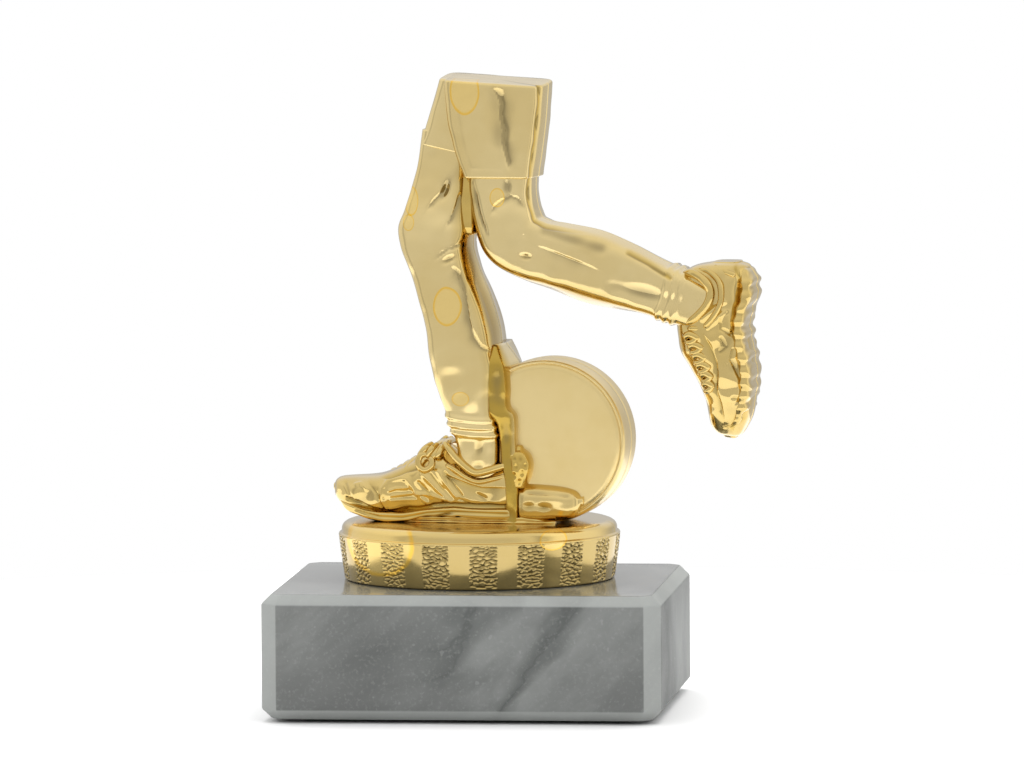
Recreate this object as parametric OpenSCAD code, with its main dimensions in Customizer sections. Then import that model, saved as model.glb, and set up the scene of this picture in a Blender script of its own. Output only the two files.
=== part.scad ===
// Runner's-legs figure trophy: a hollow plated figure in two half shells on a round plinth,
// screwed from below to a chamfered marble block. Millimetres, +Z up, origin on the
// resting plane under the middle of the block.

/* [Marble block] */
// Width of the block, left to right
block_w = 64; // [58:1:80]
// Depth of the block, front to back
block_d = 55; // [53:1:70]
// Thickness of the stone slab
block_h = 20; // [18:1:30]
// Chamfer along the top and bottom edges
edge_chamfer = 1.6; // [0.5:0.1:3]
// Chamfer down the four corners
corner_chamfer = 2.6; // [0.5:0.1:4]
// How far the fixing hole sits behind the middle of the block
hole_back = 3; // [0:0.5:4]

/* [Fixing] */
// Nominal diameter of the clamping screw
screw_d = 5; // [4:1:6]
// Length of the screw under its head
screw_l = 20; // [19:0.5:22]
// Diameter of the counterbore under the block
counterbore_d = 18; // [16:0.5:20]
// Depth of the counterbore
counterbore_h = 7; // [6.5:0.5:8]
// Thickness of the felt stuck under the block
felt_t = 0.5; // [0.5:0.1:1.5]

/* [Plinth] */
// Radius of the panelled band at its top
plinth_r = 22.6; // [21:0.1:24]
// Radius of the plinth where it stands on the block
plinth_foot_r = 21.7; // [20:0.1:22]
// Height of the plinth
plinth_h = 9.4; // [9:0.2:12]
// Height of the smooth rim above the panels
rim_h = 1.9; // [1.5:0.1:2.5]
// Wall thickness of the mouldings
wall = 1.6; // [1.4:0.1:1.8]
// Number of hammered panels round the band
panels = 18; // [12:1:24]
// Angle that one hammered panel spans
panel_angle = 11.3; // [8:0.1:13]

/* [Figure] */
// Turn of the figure on its screw, clockwise seen from above
figure_turn = 5.8; // [0:0.1:10]
// Radius of the plain disc behind the standing leg
disc_r = 13.1; // [12:0.1:14]
// Thickness of the disc, front to back
disc_t = 10; // [9:0.5:11]

/* [Hidden] */
$fn = 48;

// Stack heights
block_top = felt_t + block_h;
plinth_top = block_top + plinth_h;
seat_z = felt_t + counterbore_h;      // the screw's washers press up against this face

// Standard hardware sizes, from the screw's diameter
head_af = screw_d * 1.6;              // across the flats of the head and nut
head_h = screw_d * 0.7;
nut_h = screw_d * 0.8;
washer_d = screw_d * 2;
washer_t = screw_d * 0.2;
lock_t = screw_d * 0.24;
lock_d = screw_d * 1.8;
slip = 0.05;                          // radial clearance of the screw in its nut
hole_slip = 0.5;                      // radial clearance of the screw in the stone
head_top = seat_z - washer_t - lock_t;
nut_z = block_top + 1.6;

// Felt underside
felt_inset = 4.5;

// Plinth details
flat_r = 21;                          // edge of the flat top
rim_r = 22.2;
shoulder = 0.9;
boss_r = 7.5;
boss_gap = 0.4;                       // the boss stops short of the stone
rib_count = 6;
rib_t = 1.2;
rib_depth = 5;
panel_depth = 0.35;
panel_low = 0.6;
panel_phase = 3.6;
foot_bevel = 0.9;
peg_r = 1.8;
peg_slip = 0.1;
peg_drop = wall + 1;
front_peg = [-9, -3.6];               // along the figure, and behind its joint face
rear_peg = [10, 3];

// Figure details
disc_at = [11.8, 13];                 // along the figure, and above the plinth's top
pin_r = 1.2;
pin_l = 2.4;
pin_boss_r = 2.5;
pin_places = [[14, 13], [-3, 30], [4, 62]];
waist_low = 70.3;                     // the figure is cut flat at the waist, sloping down
waist_slope = 2.6;                    // to the rear leg
hollow_top = 67.6;
section_points = 20;
spacing = 2;                          // slices between one listed section and the next
squareness = 0.76;
draft = 0.22;
bump_r = 0.9;
far = 200;

// Sections of the limbs: [along, up, tilt, half width, front depth, rear depth].
// Along and up are from the middle of the plinth's top; tilt 0 is a level section.
standing_shorts = [
    [-1.6, 76, 0, 5, 4, 5.4],
    [-2.2, 70, 0, 5, 4.2, 5.8],
    [-3.6, 64, 2, 5.4, 4.8, 6.4],
    [-4.4, 60, 6, 5.6, 5.4, 6.8],
    [-4.5, 58.4, 8, 5.5, 5.4, 6.8]];
standing_leg = [
    [-4.4, 62, 0, 5, 5, 5.8],
    [-5.1, 54.9, 0, 5.6, 5.8, 6.4],
    [-6.6, 48.4, 0, 5.9, 6.6, 7],
    [-6.8, 45.2, 0, 6.2, 7, 7.2],
    [-6.1, 41.9, 0, 5.9, 6.8, 7.2],
    [-4.6, 38.7, 0, 6.1, 7, 7.4],
    [-3.4, 35.4, 0, 6.5, 7.6, 7.8],
    [-2.6, 32.2, 0, 6.5, 7.8, 8],
    [-2, 29, 0, 6.4, 7.8, 8],
    [-1, 24.1, 0, 6.1, 7.6, 7.8],
    [-0.2, 20.8, 0, 5.9, 7.4, 7.6],
    [0.3, 17.6, 0, 5.6, 7.2, 7.4],
    [0.8, 12.7, 0, 5.4, 7.2, 7.4],
    [1, 7, 0, 5.6, 7.2, 7.4]];
standing_sock = [
    [0.5, 16.9, 0, 5.2, 6.8, 7],
    [0.5, 16.2, 0, 6, 7.7, 7.9],
    [0.6, 15.5, 0, 5.6, 7.3, 7.5],
    [0.7, 14.8, 0, 6, 7.7, 7.9],
    [0.8, 14.1, 0, 5.2, 6.9, 7.1]];
raised_shorts = [
    [3.8, 76, 0, 8.4, 5, 4.6],
    [3.8, 70, 0, 7.6, 5, 4.6],
    [4.4, 62, 0, 6, 5.4, 4.8],
    [4.8, 57.4, 0, 5.6, 5.8, 5],
    [5, 55.6, 0, 5.8, 6, 5.2]];
raised_leg = [
    [3.9, 62, 0, 5, 4.8, 4.4],
    [3.8, 54.9, 0, 5.2, 5, 4.6],
    [4, 50.5, 4, 5.4, 5.4, 4.8],
    [5.2, 46.4, 30, 5.6, 6, 5.2],
    [7.6, 43.8, 56, 5.2, 6.2, 5.4],
    [12, 42.5, 74, 4.9, 6.2, 5.6],
    [19, 40.9, 75, 5.6, 6.4, 6],
    [25, 39.1, 74, 5.2, 6, 5.6],
    [30, 37.3, 72, 4.6, 5.4, 5.2],
    [33.6, 36, 71, 4.4, 5, 5],
    [37.5, 34.6, 70, 4.3, 4.8, 4.8]];
raised_sock = [
    [31.2, 36.9, 72, 4.2, 5, 4.8],
    [32, 36.6, 72, 4.9, 5.7, 5.5],
    [32.8, 36.3, 72, 4.5, 5.3, 5.1],
    [33.6, 36, 72, 4.9, 5.7, 5.5],
    [34.4, 35.8, 72, 4.2, 5, 4.8]];
standing_shoe = [
    [-23.5, 4.6, 90, 0.7, 1.2, 1.2],
    [-22.6, 4.1, 90, 2.1, 3.4, 3.4],
    [-20.5, 3.9, 90, 3, 5.4, 5.2],
    [-17, 3.8, 90, 3.6, 6.8, 6.4],
    [-14, 3.5, 90, 4.4, 7.4, 7],
    [-10, 4.6, 90, 5.5, 7.6, 7.2],
    [-7.2, 5.6, 90, 6.4, 7.7, 7.3],
    [-3, 5.5, 90, 6.4, 7.6, 7.4],
    [3, 5.1, 90, 5.9, 7.6, 7.4],
    [7, 4.9, 90, 5.6, 7, 6.8],
    [8.9, 4.6, 90, 4.8, 4.6, 4.6]];
raised_shoe = [
    [40.4, 42, 0, 2.6, 2.6, 2.6],
    [40, 40.6, 0, 5.7, 5, 5],
    [39.8, 37, 0, 6.5, 6.2, 6],
    [39.2, 33.4, 0, 6.4, 6.6, 6.4],
    [38.9, 30.4, 0, 6.3, 6.6, 6.4],
    [39.3, 27.8, 0, 6.4, 6.6, 6.4],
    [40.2, 25, 0, 6, 6.6, 6.4],
    [41.2, 22, 0, 5.2, 6.4, 6.2],
    [41.6, 19, 0, 4.5, 6, 5.8],
    [41.3, 16.4, 0, 3.2, 4.8, 4.6],
    [41.4, 13.8, 0, 1.2, 2, 2]];
rear_rib = [
    [4.6, 26.9, 0, 0.8, -0.6, 5.6],
    [4.6, 25.6, 0, 1.9, -0.6, 7],
    [4.9, 18, 0, 2.2, -0.6, 7.4],
    [6, -0.8, 0, 2.8, -0.6, 7.4]];
support_foot = [
    [7.4, 2.8, 90, 3.6, 7.2, 7],
    [12, 2.8, 90, 3.6, 7.4, 7.2],
    [15.4, 2.7, 90, 3.4, 7.2, 7],
    [17.4, 2.6, 90, 2, 6, 5.8]];
standing_laces = [[-13, 7.9], [-11.2, 8.9], [-9.5, 10.1], [-8, 11.4]];
raised_laces = [[37.4, 19.4], [36.2, 22.4], [34.6, 25.2], [33.2, 27.8]];
lace_half = 3.4;

marble_block();
felt_base();
plinth();
captive_nut();
clamp_screw();
flat_washer();
lock_washer();
figure_front_shell();
figure_rear_shell();

// ---- Shared shapes ----

module chamfered_rect(w, h, c) {
    polygon([[c - w / 2, -h / 2], [w / 2 - c, -h / 2], [w / 2, c - h / 2], [w / 2, h / 2 - c],
             [w / 2 - c, h / 2], [c - w / 2, h / 2], [-w / 2, h / 2 - c], [-w / 2, c - h / 2]]);
}

module hexagon(across, h) {
    cylinder(d = across / cos(30), h = h, $fn = 6);
}

module ring(outer_r, inner_r, h) {
    difference() {
        cylinder(r = outer_r, h = h);
        translate([0, 0, -1]) cylinder(r = inner_r, h = h + 2);
    }
}

module on_screw_axis(z) {
    translate([0, hole_back, z]) children();
}

// ---- Stone and felt ----

module block_blank() {
    intersection() {
        translate([0, 0, -block_h / 2])
            linear_extrude(block_h) chamfered_rect(block_w, block_d, corner_chamfer);
        rotate([90, 0, 0]) translate([0, 0, -block_d / 2])
            linear_extrude(block_d) chamfered_rect(block_w, block_h, edge_chamfer);
        rotate([90, 0, 90]) translate([0, 0, -block_w / 2])
            linear_extrude(block_w) chamfered_rect(block_d, block_h, edge_chamfer);
    }
}

module marble_block() color("lightgrey") difference() {
    translate([0, 0, felt_t + block_h / 2]) block_blank();
    on_screw_axis(felt_t - 1) cylinder(d = counterbore_d, h = counterbore_h + 1);
    on_screw_axis(0) cylinder(d = screw_d + 2 * hole_slip, h = block_top + 1);
}

module felt_base() color("darkgreen")
    linear_extrude(felt_t)
        chamfered_rect(block_w - 2 * felt_inset, block_d - 2 * felt_inset, corner_chamfer);

// ---- Fixing hardware ----

module clamp_screw() color("silver")
    on_screw_axis(head_top) {
        translate([0, 0, -head_h]) hexagon(head_af, head_h);
        cylinder(d = screw_d - 2 * slip, h = screw_l);
    }

module lock_washer() color("silver")
    on_screw_axis(head_top) difference() {
        ring(lock_d / 2, screw_d / 2 + 2 * slip, lock_t);
        // The split that makes it springy
        rotate(20) translate([screw_d / 4, -0.4, -1]) cube([lock_d, 0.8, lock_t + 2]);
    }

module flat_washer() color("silver")
    on_screw_axis(seat_z - washer_t) ring(washer_d / 2, screw_d / 2 + 3 * slip, washer_t);

module captive_nut() color("gold")
    on_screw_axis(nut_z) difference() {
        hexagon(head_af, nut_h);
        translate([0, 0, -1]) cylinder(d = screw_d, h = nut_h + 2);
    }

// ---- Plinth ----

module plinth_outline() {
    polygon([
        [0, plinth_h], [flat_r, plinth_h], [rim_r - 0.4, plinth_h - 0.35],
        [rim_r, plinth_h - shoulder], [rim_r, plinth_h - rim_h], [plinth_r, plinth_h - rim_h],
        [plinth_foot_r + 0.2, foot_bevel], [plinth_foot_r - 0.5, 0],
        [plinth_foot_r - 0.5 - wall, 0], [rim_r - wall - 0.6, plinth_h - wall],
        [0, plinth_h - wall]]);
}

// The sunk ground of one hammered panel
module panel_pocket() {
    high = plinth_h - rim_h - 0.2;
    lean = (plinth_r - plinth_foot_r) / (plinth_h - rim_h);
    low_r = plinth_foot_r + lean * panel_low;
    high_r = plinth_foot_r + lean * high;
    rotate(-panel_angle / 2) rotate_extrude(angle = panel_angle)
        polygon([[low_r - panel_depth, panel_low], [low_r + 1, panel_low],
                 [high_r + 1, high], [high_r - panel_depth, high]]);
}

module plinth() color("gold")
    on_screw_axis(block_top) difference() {
        union() {
            rotate_extrude() plinth_outline();
            translate([0, 0, boss_gap]) cylinder(r = boss_r, h = plinth_h - wall / 2 - boss_gap);
            for (i = [0:rib_count - 1])
                rotate(45 + i * 360 / rib_count)
                    translate([boss_r - 1, -rib_t / 2, plinth_h - rib_depth])
                        cube([plinth_foot_r - boss_r - 1, rib_t, rib_depth - wall / 2]);
        }
        cylinder(d = screw_d + 2 * hole_slip, h = plinth_h - wall - 0.6);
        translate([0, 0, nut_z - block_top]) hexagon(head_af, nut_h);
        rotate(-figure_turn) for (p = [front_peg, rear_peg])
            translate([p[0], p[1], plinth_h - peg_drop]) cylinder(r = peg_r + peg_slip, h = peg_drop + 1);
        rotate(-figure_turn) for (i = [0:panels - 1])
            rotate(panel_phase + i * 360 / panels) panel_pocket();
    }

// ---- Figure ----

function corner(x) = sign(x) * pow(abs(x), squareness);

// Outline of a limb's section: squarish, drafted towards its front and rear faces
function outline(half_w, front, rear) = [
    for (i = [0:section_points - 1])
        let (a = (i + 0.5) * 360 / section_points, c = corner(cos(a)), s = corner(sin(a)))
            [half_w * c * (1 - draft * abs(s)), (s < 0 ? front : rear) * s]];

// The outline stood in its place on the limb
function placed(s, inset) = [
    for (p = outline(s[3] - inset, s[4] - inset, s[5] - inset))
        [s[0] + p[0] * cos(s[2]), p[1], s[1] + p[0] * sin(s[2])]];

// A smooth curve through the listed sections
function between(a, b, c, d, t) =
    b + (c - a) * t / 2 + (a - 2.5 * b + 2 * c - d / 2) * t * t
    + (1.5 * b - a / 2 - 1.5 * c + d / 2) * t * t * t;

function smoothed(rows) = let (last = len(rows) - 1) [
    for (i = [0:last - 1], j = [0:spacing - 1])
        between(rows[max(i - 1, 0)], rows[i], rows[i + 1], rows[min(i + 2, last)], j / spacing),
    rows[last]];

module limb(rows, inset = 0) {
    rings = [for (s = smoothed(rows)) placed(s, inset)];
    n = section_points;
    last = (len(rings) - 1) * n;
    polyhedron(
        points = [for (r = rings) each r],
        faces = [
            [for (i = [0:n - 1]) n - 1 - i],
            for (j = [0:n:last - n], i = [0:n - 1])
                let (a = j + i, b = j + (i + 1) % n) each [[a, b, a + n], [b, b + n, a + n]],
            [for (i = [0:n - 1]) last + i]]);
}

module disc(inset = 0) {
    translate([disc_at[0], disc_t / 2 - inset, disc_at[1]]) rotate([90, 0, 0])
        cylinder(r = disc_r - inset, h = disc_t - 2 * inset, $fn = 64);
}

// Lace bars lie across the instep
module laces(places) {
    for (p = places) hull() for (y = [-lace_half, lace_half])
        translate([p[0], y, p[1]]) sphere(r = bump_r, $fn = 12);
}

module figure_body() {
    limb(standing_shorts);
    limb(standing_leg);
    limb(standing_sock);
    limb(raised_shorts);
    limb(raised_leg);
    limb(raised_sock);
    limb(standing_shoe);
    limb(raised_shoe);
    limb(rear_rib);
    limb(support_foot);
    disc();
    laces(standing_laces);
    laces(raised_laces);
}

// The hollow inside the mouldings, but for the posts that carry the locating pins
module figure_hollow() {
    difference() {
        union() {
            limb(standing_shorts, wall);
            limb(standing_leg, wall);
            limb(raised_shorts, wall);
            limb(raised_leg, wall);
            disc(wall);
        }
        pin_posts(pin_boss_r, -10, 10);
        translate([-far / 2, -far / 2, hollow_top]) cube(far);
    }
}

module pin_posts(r, from, to) {
    for (p = pin_places)
        translate([p[0], to, p[1]]) rotate([90, 0, 0]) cylinder(r = r, h = to - from, $fn = 16);
}

// The half of the figure before (-1) or behind (1) the joint face, from plinth to waist
module figure_half(side) {
    intersection() {
        difference() {
            figure_body();
            figure_hollow();
        }
        translate([-far / 2, side < 0 ? -far / 2 : 0, 0]) cube([far, far / 2, far]);
        translate([0, 0, waist_low]) rotate([0, waist_slope, 0])
            translate([-far / 2, -far / 2, 0.6 - far]) cube(far);
    }
}

module peg(p) {
    translate([p[0], p[1], -peg_drop]) cylinder(r = peg_r, h = peg_drop + 1, $fn = 24);
}

module in_figure_frame() {
    on_screw_axis(plinth_top) rotate(-figure_turn) children();
}

module figure_front_shell() color("gold") in_figure_frame() {
    difference() {
        figure_half(-1);
        pin_posts(pin_r + peg_slip, -pin_l - 0.2, 1);
    }
    peg(front_peg);
}

module figure_rear_shell() color("gold") in_figure_frame() {
    figure_half(1);
    pin_posts(pin_r, -pin_l, 1);
    peg(rear_peg);
}
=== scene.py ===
"""Visible pieces and finishes of the runner's-legs trophy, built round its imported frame."""
import math

import bpy
import numpy as np
from bpy.props import FloatProperty, FloatVectorProperty, IntProperty, PointerProperty
from mathutils import Matrix, Vector


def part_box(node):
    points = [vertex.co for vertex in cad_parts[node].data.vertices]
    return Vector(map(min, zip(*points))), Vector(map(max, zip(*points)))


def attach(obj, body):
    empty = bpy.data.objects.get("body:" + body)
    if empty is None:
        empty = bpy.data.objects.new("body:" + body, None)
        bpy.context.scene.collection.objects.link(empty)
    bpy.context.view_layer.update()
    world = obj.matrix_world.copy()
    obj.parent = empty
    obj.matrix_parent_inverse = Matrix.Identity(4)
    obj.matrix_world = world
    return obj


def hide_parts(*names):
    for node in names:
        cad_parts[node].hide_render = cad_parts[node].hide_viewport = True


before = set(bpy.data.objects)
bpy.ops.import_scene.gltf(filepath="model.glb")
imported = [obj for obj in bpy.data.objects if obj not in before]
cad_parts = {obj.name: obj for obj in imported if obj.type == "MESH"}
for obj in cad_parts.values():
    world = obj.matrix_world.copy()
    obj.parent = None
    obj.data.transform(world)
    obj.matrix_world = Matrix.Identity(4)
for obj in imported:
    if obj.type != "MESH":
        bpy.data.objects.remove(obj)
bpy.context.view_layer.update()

bl_info = {
    "name": "Runner's Legs Trophy",
    "version": (1, 0, 0),
    "blender": (4, 5, 0),
    "location": "View3D > Sidebar > Trophy",
    "description": "Builds the plated legs, disc, plinth and marble block of a small trophy",
    "category": "Object",
}

PLINTH_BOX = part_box("plinth")
PLINTH_TOP = PLINTH_BOX[1][2] * 1000
SCREW_Y = (PLINTH_BOX[0][1] + PLINTH_BOX[1][1]) * 500
BLOCK_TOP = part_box("marble_block")[1][2] * 1000
SEED = 11
SHELLS = ("figure_front_shell", "figure_rear_shell")
DISC_AT = (11.8, 13.1)                  # the disc's middle along and up, in mm
LEAN_FROM, LEAN_OVER = 62, 8            # the shorts start to tip at this height, over this much, in mm
FACE_DEPTH = -6.5                       # how far in front of the parting plane the legs' faces lie, in mm
TURNED_RINGS = 6                        # rings that turn a bevelled end in
INNER_RINGS = (0.75, 0.4, 0.1, 0.004)   # sizes of the rings that close it


# ---------------------------------------------------------------- settings

class TrophyFigure(bpy.types.PropertyGroup):
    turn: FloatProperty(
        name="Turn", description="Turn of the figure on its screw, clockwise from above",
        default=math.radians(5.8), subtype="ANGLE")
    seam: FloatProperty(
        name="Parting groove", description="Depth of the groove where the two shells meet, in mm",
        default=0.16, min=0)
    relief: FloatProperty(
        name="Relief", description="Strength of the folds and muscles", default=1.0, min=0)
    laces: FloatProperty(
        name="Lace thickness", description="Radius of a lace, in mm", default=0.55, min=0.2)


class TrophyPlinth(bpy.types.PropertyGroup):
    panels: IntProperty(
        name="Panels", description="Hammered panels round the band", default=18, min=6)
    panel_angle: FloatProperty(
        name="Panel width", description="Angle one hammered panel spans",
        default=math.radians(11.3), subtype="ANGLE")
    hammer: FloatProperty(
        name="Hammering", description="Height of the hammered pebbles, in mm", default=0.3)


class TrophyFinish(bpy.types.PropertyGroup):
    gold: FloatVectorProperty(
        name="Plating", description="Colour of the metallised plastic", subtype="COLOR",
        default=(0.84, 0.665, 0.32))
    pooled: FloatVectorProperty(
        name="Pooled lacquer", description="Colour where the lacquer is thick", subtype="COLOR",
        default=(0.58, 0.375, 0.05))
    stain: FloatVectorProperty(
        name="Stain", description="Colour of the lacquer's round stains", subtype="COLOR",
        default=(0.93, 0.68, 0.24))
    stone: FloatVectorProperty(
        name="Stone", description="Body colour of the marble", subtype="COLOR",
        default=(0.178, 0.185, 0.178))
    veins: FloatVectorProperty(
        name="Veins", description="Colour of the marble's dark veins", subtype="COLOR",
        default=(0.07, 0.076, 0.072))


class TrophyStage(bpy.types.PropertyGroup):
    azimuth: FloatProperty(
        name="Azimuth", description="Camera's angle to the right of the front",
        default=math.radians(6.15), subtype="ANGLE")
    elevation: FloatProperty(
        name="Elevation", description="Camera's angle above the level",
        default=math.radians(4.87), subtype="ANGLE")
    distance: FloatProperty(
        name="Distance", description="Camera's distance from the plinth's axis", default=1.867,
        unit="LENGTH")
    lens: FloatProperty(name="Lens", description="Focal length in mm", default=407)
    roll: FloatProperty(
        name="Roll", description="Camera's turn about its own axis",
        default=math.radians(-0.353), subtype="ANGLE")
    light: FloatProperty(name="Light", description="Strength of the soft boxes", default=1.0)


# ---------------------------------------------------------------- surfaces

def smooth_through(rows):
    """The Catmull-Rom curve through the rows, as a function of the row number.

    Each piece of the curve is b + f/2 (c - a) + f^2/2 (2a - 5b + 4c - d) + f^3/2 (3b - a - 3c + d)."""
    ends = np.vstack([2 * rows[0] - rows[1], rows, 2 * rows[-1] - rows[-2]])

    def at(t):
        i = np.clip(t.astype(int), 0, len(rows) - 2)
        f = (t - i)[:, None]
        a, b, c, d = (ends[i + k] for k in range(4))
        return b + 0.5 * f * (c - a + f * (2 * a - 5 * b + 4 * c - d + f * (3 * (b - c) + d - a)))

    return at


def flowing(rows, spacing):
    """Points on the smooth curve through the rows, evenly spaced along the first two numbers."""
    rows = np.asarray(rows, float)
    at = smooth_through(rows)
    fine = np.linspace(0, len(rows) - 1, 60 * len(rows))
    travelled = np.concatenate([[0], np.cumsum(np.hypot(*np.diff(at(fine)[:, :2], axis=0).T))])
    count = max(4, int(travelled[-1] / spacing))
    return at(np.interp(np.linspace(0, travelled[-1], count), travelled, fine))


def squarish(angles, power):
    """Radius of the superellipse |x|^power + |y|^power = 1 in each direction."""
    return (np.abs(np.cos(angles)) ** power + np.abs(np.sin(angles)) ** power) ** (-1 / power)


def limb_surface(rows, spacing=0.35, around=170, power=4.6, front_share=0.3, rear_share=1.0):
    """Sections carried along a curve in the joint plane.

    A row holds along, up, tilt, half width, front depth, rear depth, lower draft and upper draft,
    in millimetres, degrees and shares of the half width.
    Each section is a superellipse; its width shrinks by the draft towards the front and rear,
    by the share of it given for each.
    Returns the points and each one's place across (-1 to 1) and through (-1 front to 1 rear)."""
    r = flowing(rows, spacing)[:, :, None]
    angle = (np.arange(around) / around * 2 * np.pi)[None, :]
    radius = squarish(angle, power)
    across = radius * np.cos(angle) + 0 * r[:, 3]
    through = radius * np.sin(angle) + 0 * r[:, 3]
    draft = np.where(across < 0, r[:, 6], r[:, 7])
    draft = draft * np.where(through < 0, front_share, rear_share)
    x = r[:, 3] * across * (1 - draft * np.abs(through))
    y = np.where(through < 0, r[:, 4], r[:, 5]) * through
    tilt = np.radians(r[:, 2])
    points = np.stack([r[:, 0] + x * np.cos(tilt), y, r[:, 1] + x * np.sin(tilt)], axis=-1)
    return points, across, through


def outward(points):
    """Unit normals of a grid that is closed round its second side, pointing away from its middle."""
    round_way = np.roll(points, -1, axis=1) - np.roll(points, 1, axis=1)
    along_way = np.gradient(points, axis=0)
    n = np.cross(along_way, round_way)
    n /= np.linalg.norm(n, axis=-1, keepdims=True) + 1e-12
    away = points - points.mean(axis=1, keepdims=True)
    return n * np.sign((n * away).sum() + 1e-12)


def rounded_ends(points, bevels):
    """Adds rings that turn each end in over a quarter circle of the given radius, then shrink to
    a point in the middle of the end."""
    for end, bevel in zip((0, -1), bevels):
        if bevel is None:
            continue
        ring = points[end]
        middle = ring.mean(axis=0)
        step = ring.mean(axis=0) - points[1 if end == 0 else -2].mean(axis=0)
        step /= np.linalg.norm(step)
        out = ring - middle
        size = np.linalg.norm(out, axis=1, keepdims=True)
        a = np.linspace(0, np.pi / 2, TURNED_RINGS + 1)[1:, None, None]
        turned = ring - out / size * bevel * (1 - np.cos(a)) + step * bevel * np.sin(a)
        tip = middle + step * bevel
        inner = tip + (turned[-1] - middle - step * bevel) * np.array(INNER_RINGS)[:, None, None]
        rings = np.concatenate([turned, inner])
        points = (np.concatenate([rings[::-1], points]) if end == 0
                  else np.concatenate([points, rings]))
    return points


def near_path(u, z, path, width):
    """1 on a polyline and falling away from it as a bell of the given width."""
    path = np.asarray(path, float)
    best = np.full(u.shape, 1e9)
    for (au, az), (bu, bz) in zip(path[:-1], path[1:]):
        du, dz = bu - au, bz - az
        t = np.clip(((u - au) * du + (z - az) * dz) / (du * du + dz * dz), 0, 1)
        best = np.minimum(best, np.hypot(u - au - t * du, z - az - t * dz))
    return np.exp(-(best / width) ** 2)


def overlap(u, z, path, width, edge=0.16):
    """A fold whose lip follows a polyline: 1 just to the right of the line's travel, fading away
    as a slow exponential there, and stopping short on the lip's other side."""
    path = np.asarray(path, float)
    best, side, run = np.full(u.shape, 1e9), np.zeros(u.shape), np.zeros(u.shape)
    for k, ((au, az), (bu, bz)) in enumerate(zip(path[:-1], path[1:])):
        du, dz = bu - au, bz - az
        raw = ((u - au) * du + (z - az) * dz) / (du * du + dz * dz)
        t = np.clip(raw, 0, 1)
        gap = np.hypot(u - au - t * du, z - az - t * dz)
        closer = gap < best
        best = np.where(closer, gap, best)
        side = np.where(closer, np.sign((z - az) * du - (u - au) * dz), side)
        run = np.where(closer, k + t, run)
    ends = np.clip(np.minimum(run, len(path) - 1 - run) / 0.6, 0, 1)
    return np.where(side < 0, np.exp(-best / width), np.exp(-(best / edge) ** 2)) * (0.25 + 0.75 * ends)


def near_spot(u, z, at, size, turn=0.0):
    """1 in the middle of an oval and falling away as a bell."""
    c, s = math.cos(math.radians(turn)), math.sin(math.radians(turn))
    x, y = (u - at[0]) * c + (z - at[1]) * s, (z - at[1]) * c - (u - at[0]) * s
    return np.exp(-(x / size[0]) ** 2 - (y / size[1]) ** 2)


def oval_rim(u, z, at, size, width):
    """A thin raised or sunk outline round an oval."""
    reach = np.hypot((u - at[0]) / size[0], (z - at[1]) / size[1])
    return np.exp(-((reach - 1) * min(size) / width) ** 2)


def waves(a, b, height, length=5.0, count=12):
    """Slow unevenness: a sum of sines in scattered directions, as long as the given length or
    somewhat shorter."""
    rng = np.random.default_rng(SEED)
    total = 0.0
    for turn, start, share in rng.random((count, 3)):
        k = 2 * np.pi / (length * (0.55 + 0.9 * share))
        total = total + np.sin(k * (a * np.cos(turn * np.pi) + b * np.sin(turn * np.pi)) + start * 6.3)
    return height * total / np.sqrt(count / 2)


def pebbles(a, b, size, seed):
    """Hammered bumps: distance to the nearest of a jittered lattice of points, as round domes."""
    rng = np.random.default_rng(seed)
    ca, cb = np.floor(a / size).astype(int), np.floor(b / size).astype(int)
    table = rng.random((64, 64, 2))
    first = np.full(a.shape, 9.0)
    second = np.full(a.shape, 9.0)
    for i in (-1, 0, 1):
        for j in (-1, 0, 1):
            jitter = table[(ca + i) % 64, (cb + j) % 64]
            d = np.hypot((ca + i + jitter[..., 0]) * size - a, (cb + j + jitter[..., 1]) * size - b)
            second = np.minimum(second, np.maximum(first, d))
            first = np.minimum(first, d)
    return np.clip((second - first) / size, 0, 0.45) / 0.45


def in_place(points):
    """Figure millimetres to row metres: turned on the screw's axis and stood on the plinth."""
    turn = -bpy.context.scene.trophy_figure.turn
    c, s = math.cos(turn), math.sin(turn)
    x, y, z = points[..., 0], points[..., 1], points[..., 2]
    return np.stack([x * c - y * s, x * s + y * c + SCREW_Y, z + PLINTH_TOP], axis=-1) / 1000


def closed_mesh(name, parts, values=None):
    """One object from grids (rows, around, 3) in row metres, each closed round its second side.

    Neighbouring rings are joined by four-sided faces and each end by one face; values is a
    list of grids (rows, around, 2) stored as the attributes "pool" and "fold", the second being painted
    shade."""
    corners, faces, stored, start = [], [], [], 0
    for k, points in enumerate(parts):
        rings, around = points.shape[:2]
        n = outward(points)
        i, j = np.meshgrid(np.arange(rings - 1), np.arange(around), indexing="ij")
        a, b = i * around + j, i * around + (j + 1) % around
        quads = np.stack([a, b, b + around, a + around], axis=-1).reshape(-1, 4)
        flat = points.reshape(-1, 3)
        q = flat[quads[:, 0]], flat[quads[:, 1]], flat[quads[:, 3]]
        facing = (np.cross(q[1] - q[0], q[2] - q[0]) * n.reshape(-1, 3)[quads[:, 0]]).sum()
        caps = [list(range(around))[::-1], list(range((rings - 1) * around, rings * around))]
        if facing < 0:
            quads = quads[:, ::-1]
            caps = [cap[::-1] for cap in caps]
        corners.append(flat)
        faces += (quads + start).tolist() + [[v + start for v in cap] for cap in caps]
        stored.append(np.zeros((len(flat), 2)) if values is None else values[k].reshape(-1, 2))
        start += len(flat)
    return finished(name, np.concatenate(corners), faces, np.concatenate(stored))


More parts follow.
